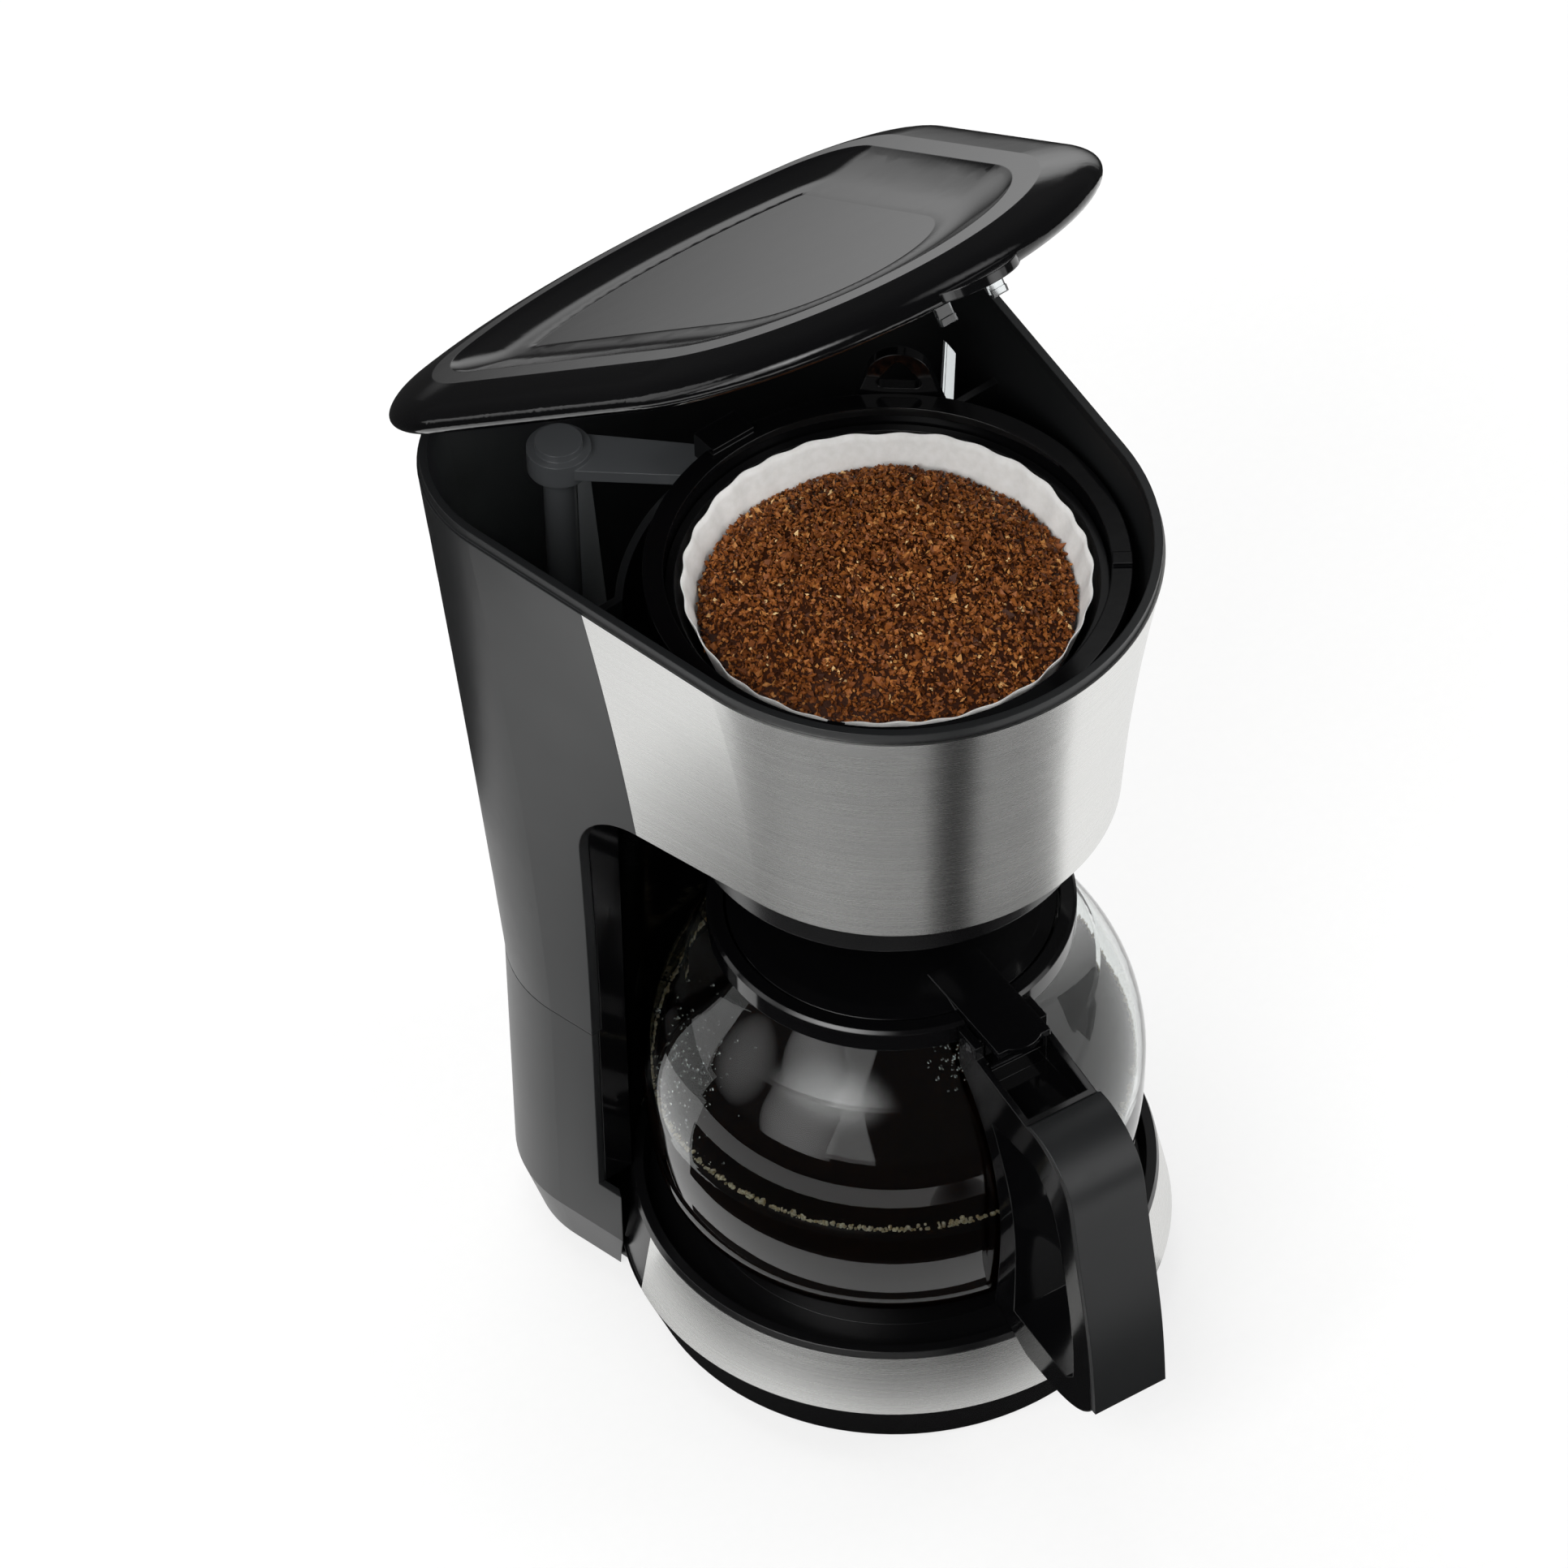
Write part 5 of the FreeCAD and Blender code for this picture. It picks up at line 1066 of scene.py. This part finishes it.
@dataclass(frozen=True)
class DarkReflectionArc:
    """A dark sheet on the floor round the front, seen only by mirrored and bent rays: a painted
    dark reflection that keeps the pale floor out of the glass.

    Its points lie at radii between the inner and the outer one, at angles that run from
    the middle direction less the half turn to the middle direction plus it.
    """

    name: str = "front_dark_reflection"
    inner: float = 0.126
    outer: float = 0.27
    middle_deg: float = -128.0
    half_deg: float = 82.0
    height: float = 0.0003
    shade: float = 0.02
    mirrored: bool = True
    steps: int = 49

    def build(self) -> None:
        """Lay the sheet, a painted dark reflection seen by bent rays, and by mirrored ones where
        it says so.
        """
        angle = np.radians(np.linspace(self.middle_deg - self.half_deg,
                                       self.middle_deg + self.half_deg, self.steps))
        rows = [np.stack([r * np.cos(angle), r * np.sin(angle),
                          np.full(self.steps, self.height)], axis=1)
                for r in (self.inner, self.outer)]
        mesh = bpy.data.meshes.new(self.name)
        mesh.from_pydata(np.concatenate(rows).tolist(), [],
                         [(i, self.steps + i, self.steps + i + 1, i + 1)
                          for i in range(self.steps - 1)])
        dark_sheet = bpy.data.objects.new(self.name, mesh)
        bpy.context.scene.collection.objects.link(dark_sheet)
        for sight in ("camera", "diffuse", "shadow", "volume_scatter"):
            setattr(dark_sheet, "visible_" + sight, False)
        dark_sheet.visible_glossy = self.mirrored
        material, tree, shader = blank("painted_dark_reflection")
        tree.nodes.remove(shader)
        # A faint glow at the shade's strength: the painted dark reflection.
        glow = add_node(tree, "Emission", {"Strength": self.shade})
        tree.links.new(glow.outputs[0], tree.nodes["Material Output"].inputs["Surface"])
        mesh.materials.append(material)


@dataclass
class Studio:
    """The camera, the pale floor, the white surroundings and the soft boxes."""

    camera_place: tuple[float, float, float] = (-1.2234, -1.5296, 2.2769)
    heading_deg: float = 37.748
    pitch_deg: float = 46.612
    roll_deg: float = -1.3975
    lens_mm: float = 224.16
    sensor_mm: float = 36.0
    floor_reach: float = 12.0
    floor_colour: str = "#f1f1f0"
    floor_lift: float = 0.72
    surround_light: float = 0.35
    boxes: tuple[SoftBox, ...] = (
        SoftBox("key_box", (-1.5, -0.7, 1.7), (1.2, 1.2), 34.0),
        SoftBox("right_box", (1.6, -1.1, 1.1), (0.7, 1.4), 20.0),
        SoftBox("top_box", (0.2, 1.0, 1.9), (1.6, 0.9), 24.0),
    )

    # Cards that only mirrored rays see: the dim ones paint dark reflections and the bright ones
    # paint highlights, lighting nothing.
    cards: tuple[Card, ...] = (
        Card("gap_dark_reflection", (-0.10, -0.36, 0.0002), (0.12, 0.5), 0.05, 0.35,
             aim=(-0.10, -0.36, 1.0), turn_deg=-16.0),
        Card("rear_floor_dark_reflection", (0.6, 2.4, 0.0002), (6.0, 4.3), 0.03, aim=(0.6, 2.4, 1.0)),
        Card("rear_flag", (0.9, 2.4, 1.0), (5.0, 3.4), 0.04),
        Card("right_flag", (3.0, 0.2, 1.0), (4.4, 3.4), 0.05),
        Card("left_flag", (-3.0, 0.4, 1.2), (4.0, 3.0), 0.05, bent=True),
        Card("front_flag", (-0.6, -3.4, 1.6), (6.0, 3.6), 0.04, bent=True),
        Card("roof_flag", (0.0, 0.0, 3.6), (8.0, 8.0), 0.03, bent=True),
        Card("key_glow", (-1.7, -0.5, 1.6), (3.0, 3.0), 6.0, 3.0, bent=True),
        Card("lid_glow", (0.8, 1.15, 0.004), (1.1, 1.4), 0.8, 1.2, aim=(0.8, 1.15, 1.0),
             turn_deg=-25.0),
        Card("top_glow", (0.9, 0.65, 2.1), (1.6, 1.2), 1.3, 1.5),
        Card("side_glow", (-1.9, 0.9, 0.9), (1.2, 2.0), 1.3, 1.0),
        Card("right_glow", (0.9, -1.7, 0.8), (1.2, 2.4), 2.2, 0.5),
        Card("left_glow", (-2.0, -0.35, 0.5), (1.3, 2.2), 2.4, 0.5),
    )

    # Dark sheets on the floor, seen by bent rays and some by mirrored ones: painted dark
    # reflections in the glass and the steel.
    dark_reflection_arcs: tuple[DarkReflectionArc, ...] = (
        DarkReflectionArc(),
        DarkReflectionArc("near_dark_reflection", 0.02, 0.1),
        DarkReflectionArc("middle_dark_reflection", 0.27, 0.46, mirrored=False),
        DarkReflectionArc("far_dark_reflection", 0.46, 6.0, -138.0, 75.0, 0.0003, 0.03),
    )

    def build(self) -> None:
        """Set up the camera, floor, surroundings, lamps and cards."""
        self.stand_camera()
        self.lay_floor()
        self.light_surroundings()
        for light in (*self.boxes, *self.cards, *self.dark_reflection_arcs):
            light.build()
        bpy.context.scene.view_settings.view_transform = "Standard"

    def stand_camera(self) -> None:
        """Stand the camera in front, looking down on the object.

        Its forward line has the heading and the pitch. Its sideways and upward lines are
        level and square to that, then turned about it by the roll.
        """
        heading, pitch, roll = (
            math.radians(a) for a in (self.heading_deg, self.pitch_deg, self.roll_deg)
        )
        forward = Vector((math.sin(heading) * math.cos(pitch),
                          math.cos(heading) * math.cos(pitch), -math.sin(pitch)))
        level = Vector((math.cos(heading), -math.sin(heading), 0.0))
        upward = level.cross(forward)
        right = level * math.cos(roll) + upward * math.sin(roll)
        top = upward * math.cos(roll) - level * math.sin(roll)
        lens = bpy.data.cameras.new("camera")
        lens.lens, lens.sensor_width = self.lens_mm, self.sensor_mm
        lens.clip_start, lens.clip_end = 0.1, 60.0
        camera = bpy.data.objects.new("camera", lens)
        bpy.context.scene.collection.objects.link(camera)
        turned = Matrix((right, top, -forward)).transposed().to_4x4()
        camera.matrix_world = Matrix.Translation(self.camera_place) @ turned
        bpy.context.scene.camera = camera

    def lay_floor(self) -> None:
        """Lay the floor just under the feet.

        Its shader mixes a plain pale diffuse one, which takes the shadow, with a white glow
        that only the camera and mirrored or bent rays meet.
        """
        low = CAD_BOX[0].z
        reach = self.floor_reach
        corners = [(-reach, -reach, low), (reach, -reach, low),
                   (reach, reach, low), (-reach, reach, low)]
        mesh = bpy.data.meshes.new("floor")
        mesh.from_pydata(corners, [], [(0, 1, 2, 3)])
        floor = bpy.data.objects.new("floor", mesh)
        bpy.context.scene.collection.objects.link(floor)
        material, tree, shader = blank("pale_paper_floor")
        tooth = add_node(tree, "TexNoise", {"Scale": per_metre(4.0), "Detail": 3.0},
                         {"Vector": place_of(tree)})
        tint = ramp(tree, tooth.outputs["Fac"], ((0.3, self.floor_colour), (0.7, "#f5f5f4")))
        tree.links.new(tint, shader.inputs["Base Color"])
        shader.inputs["Roughness"].default_value = 0.9
        shader.inputs["Specular IOR Level"].default_value = 0.1
        glow = add_node(tree, "Emission", {"Color": linear("#ffffff"), "Strength": 1.0})
        share = add_node(tree, "Math", {"operation": "MULTIPLY", 1: self.floor_lift},
                         {0: seen_ray(tree)})
        mix = add_node(tree, "MixShader", {}, {0: share.outputs[0], 1: shader.outputs["BSDF"],
                                               2: glow.outputs["Emission"]})
        tree.links.new(mix.outputs["Shader"], tree.nodes["Material Output"].inputs["Surface"])
        mesh.materials.append(material)

    def light_surroundings(self) -> None:
        """Surround the scene with white that is seen, and a dimmer grey that lights."""
        world = bpy.data.worlds.new("white_surroundings")
        bpy.context.scene.world = world
        world.use_nodes = True
        tree = world.node_tree
        tree.nodes.clear()
        seen = add_node(tree, "Background", {"Color": linear("#ffffff"), "Strength": 1.0})
        lights = add_node(tree, "Background",
                          {"Color": linear("#ffffff"), "Strength": self.surround_light})
        mix = add_node(tree, "MixShader", {}, {0: seen_ray(tree), 1: lights.outputs[0],
                                               2: seen.outputs[0]})
        output = add_node(tree, "OutputWorld")
        tree.links.new(mix.outputs["Shader"], output.inputs["Surface"])


def seen_ray(tree: bpy.types.NodeTree) -> bpy.types.NodeSocket:
    """One for rays from the camera, or mirrored or bent on their way, and else nothing."""
    path = add_node(tree, "LightPath")
    either = add_node(tree, "Math", {"operation": "MAXIMUM"},
                      {0: path.outputs["Is Camera Ray"], 1: path.outputs["Is Glossy Ray"]})
    return add_node(tree, "Math", {"operation": "MAXIMUM"},
                    {0: either.outputs[0], 1: path.outputs["Is Transmission Ray"]}).outputs[0]


def main() -> None:
    """Set up the studio, then dress the machine one sub-assembly at a time."""
    logging.basicConfig(level=logging.INFO, format="%(name)s %(message)s")
    Studio().build()
    for assembly in (Housing(), Lid(), Waterworks(), Fittings(), BrewBasket(), Carafe()):
        assembly.dress()


if __name__ == "__main__":
    main()
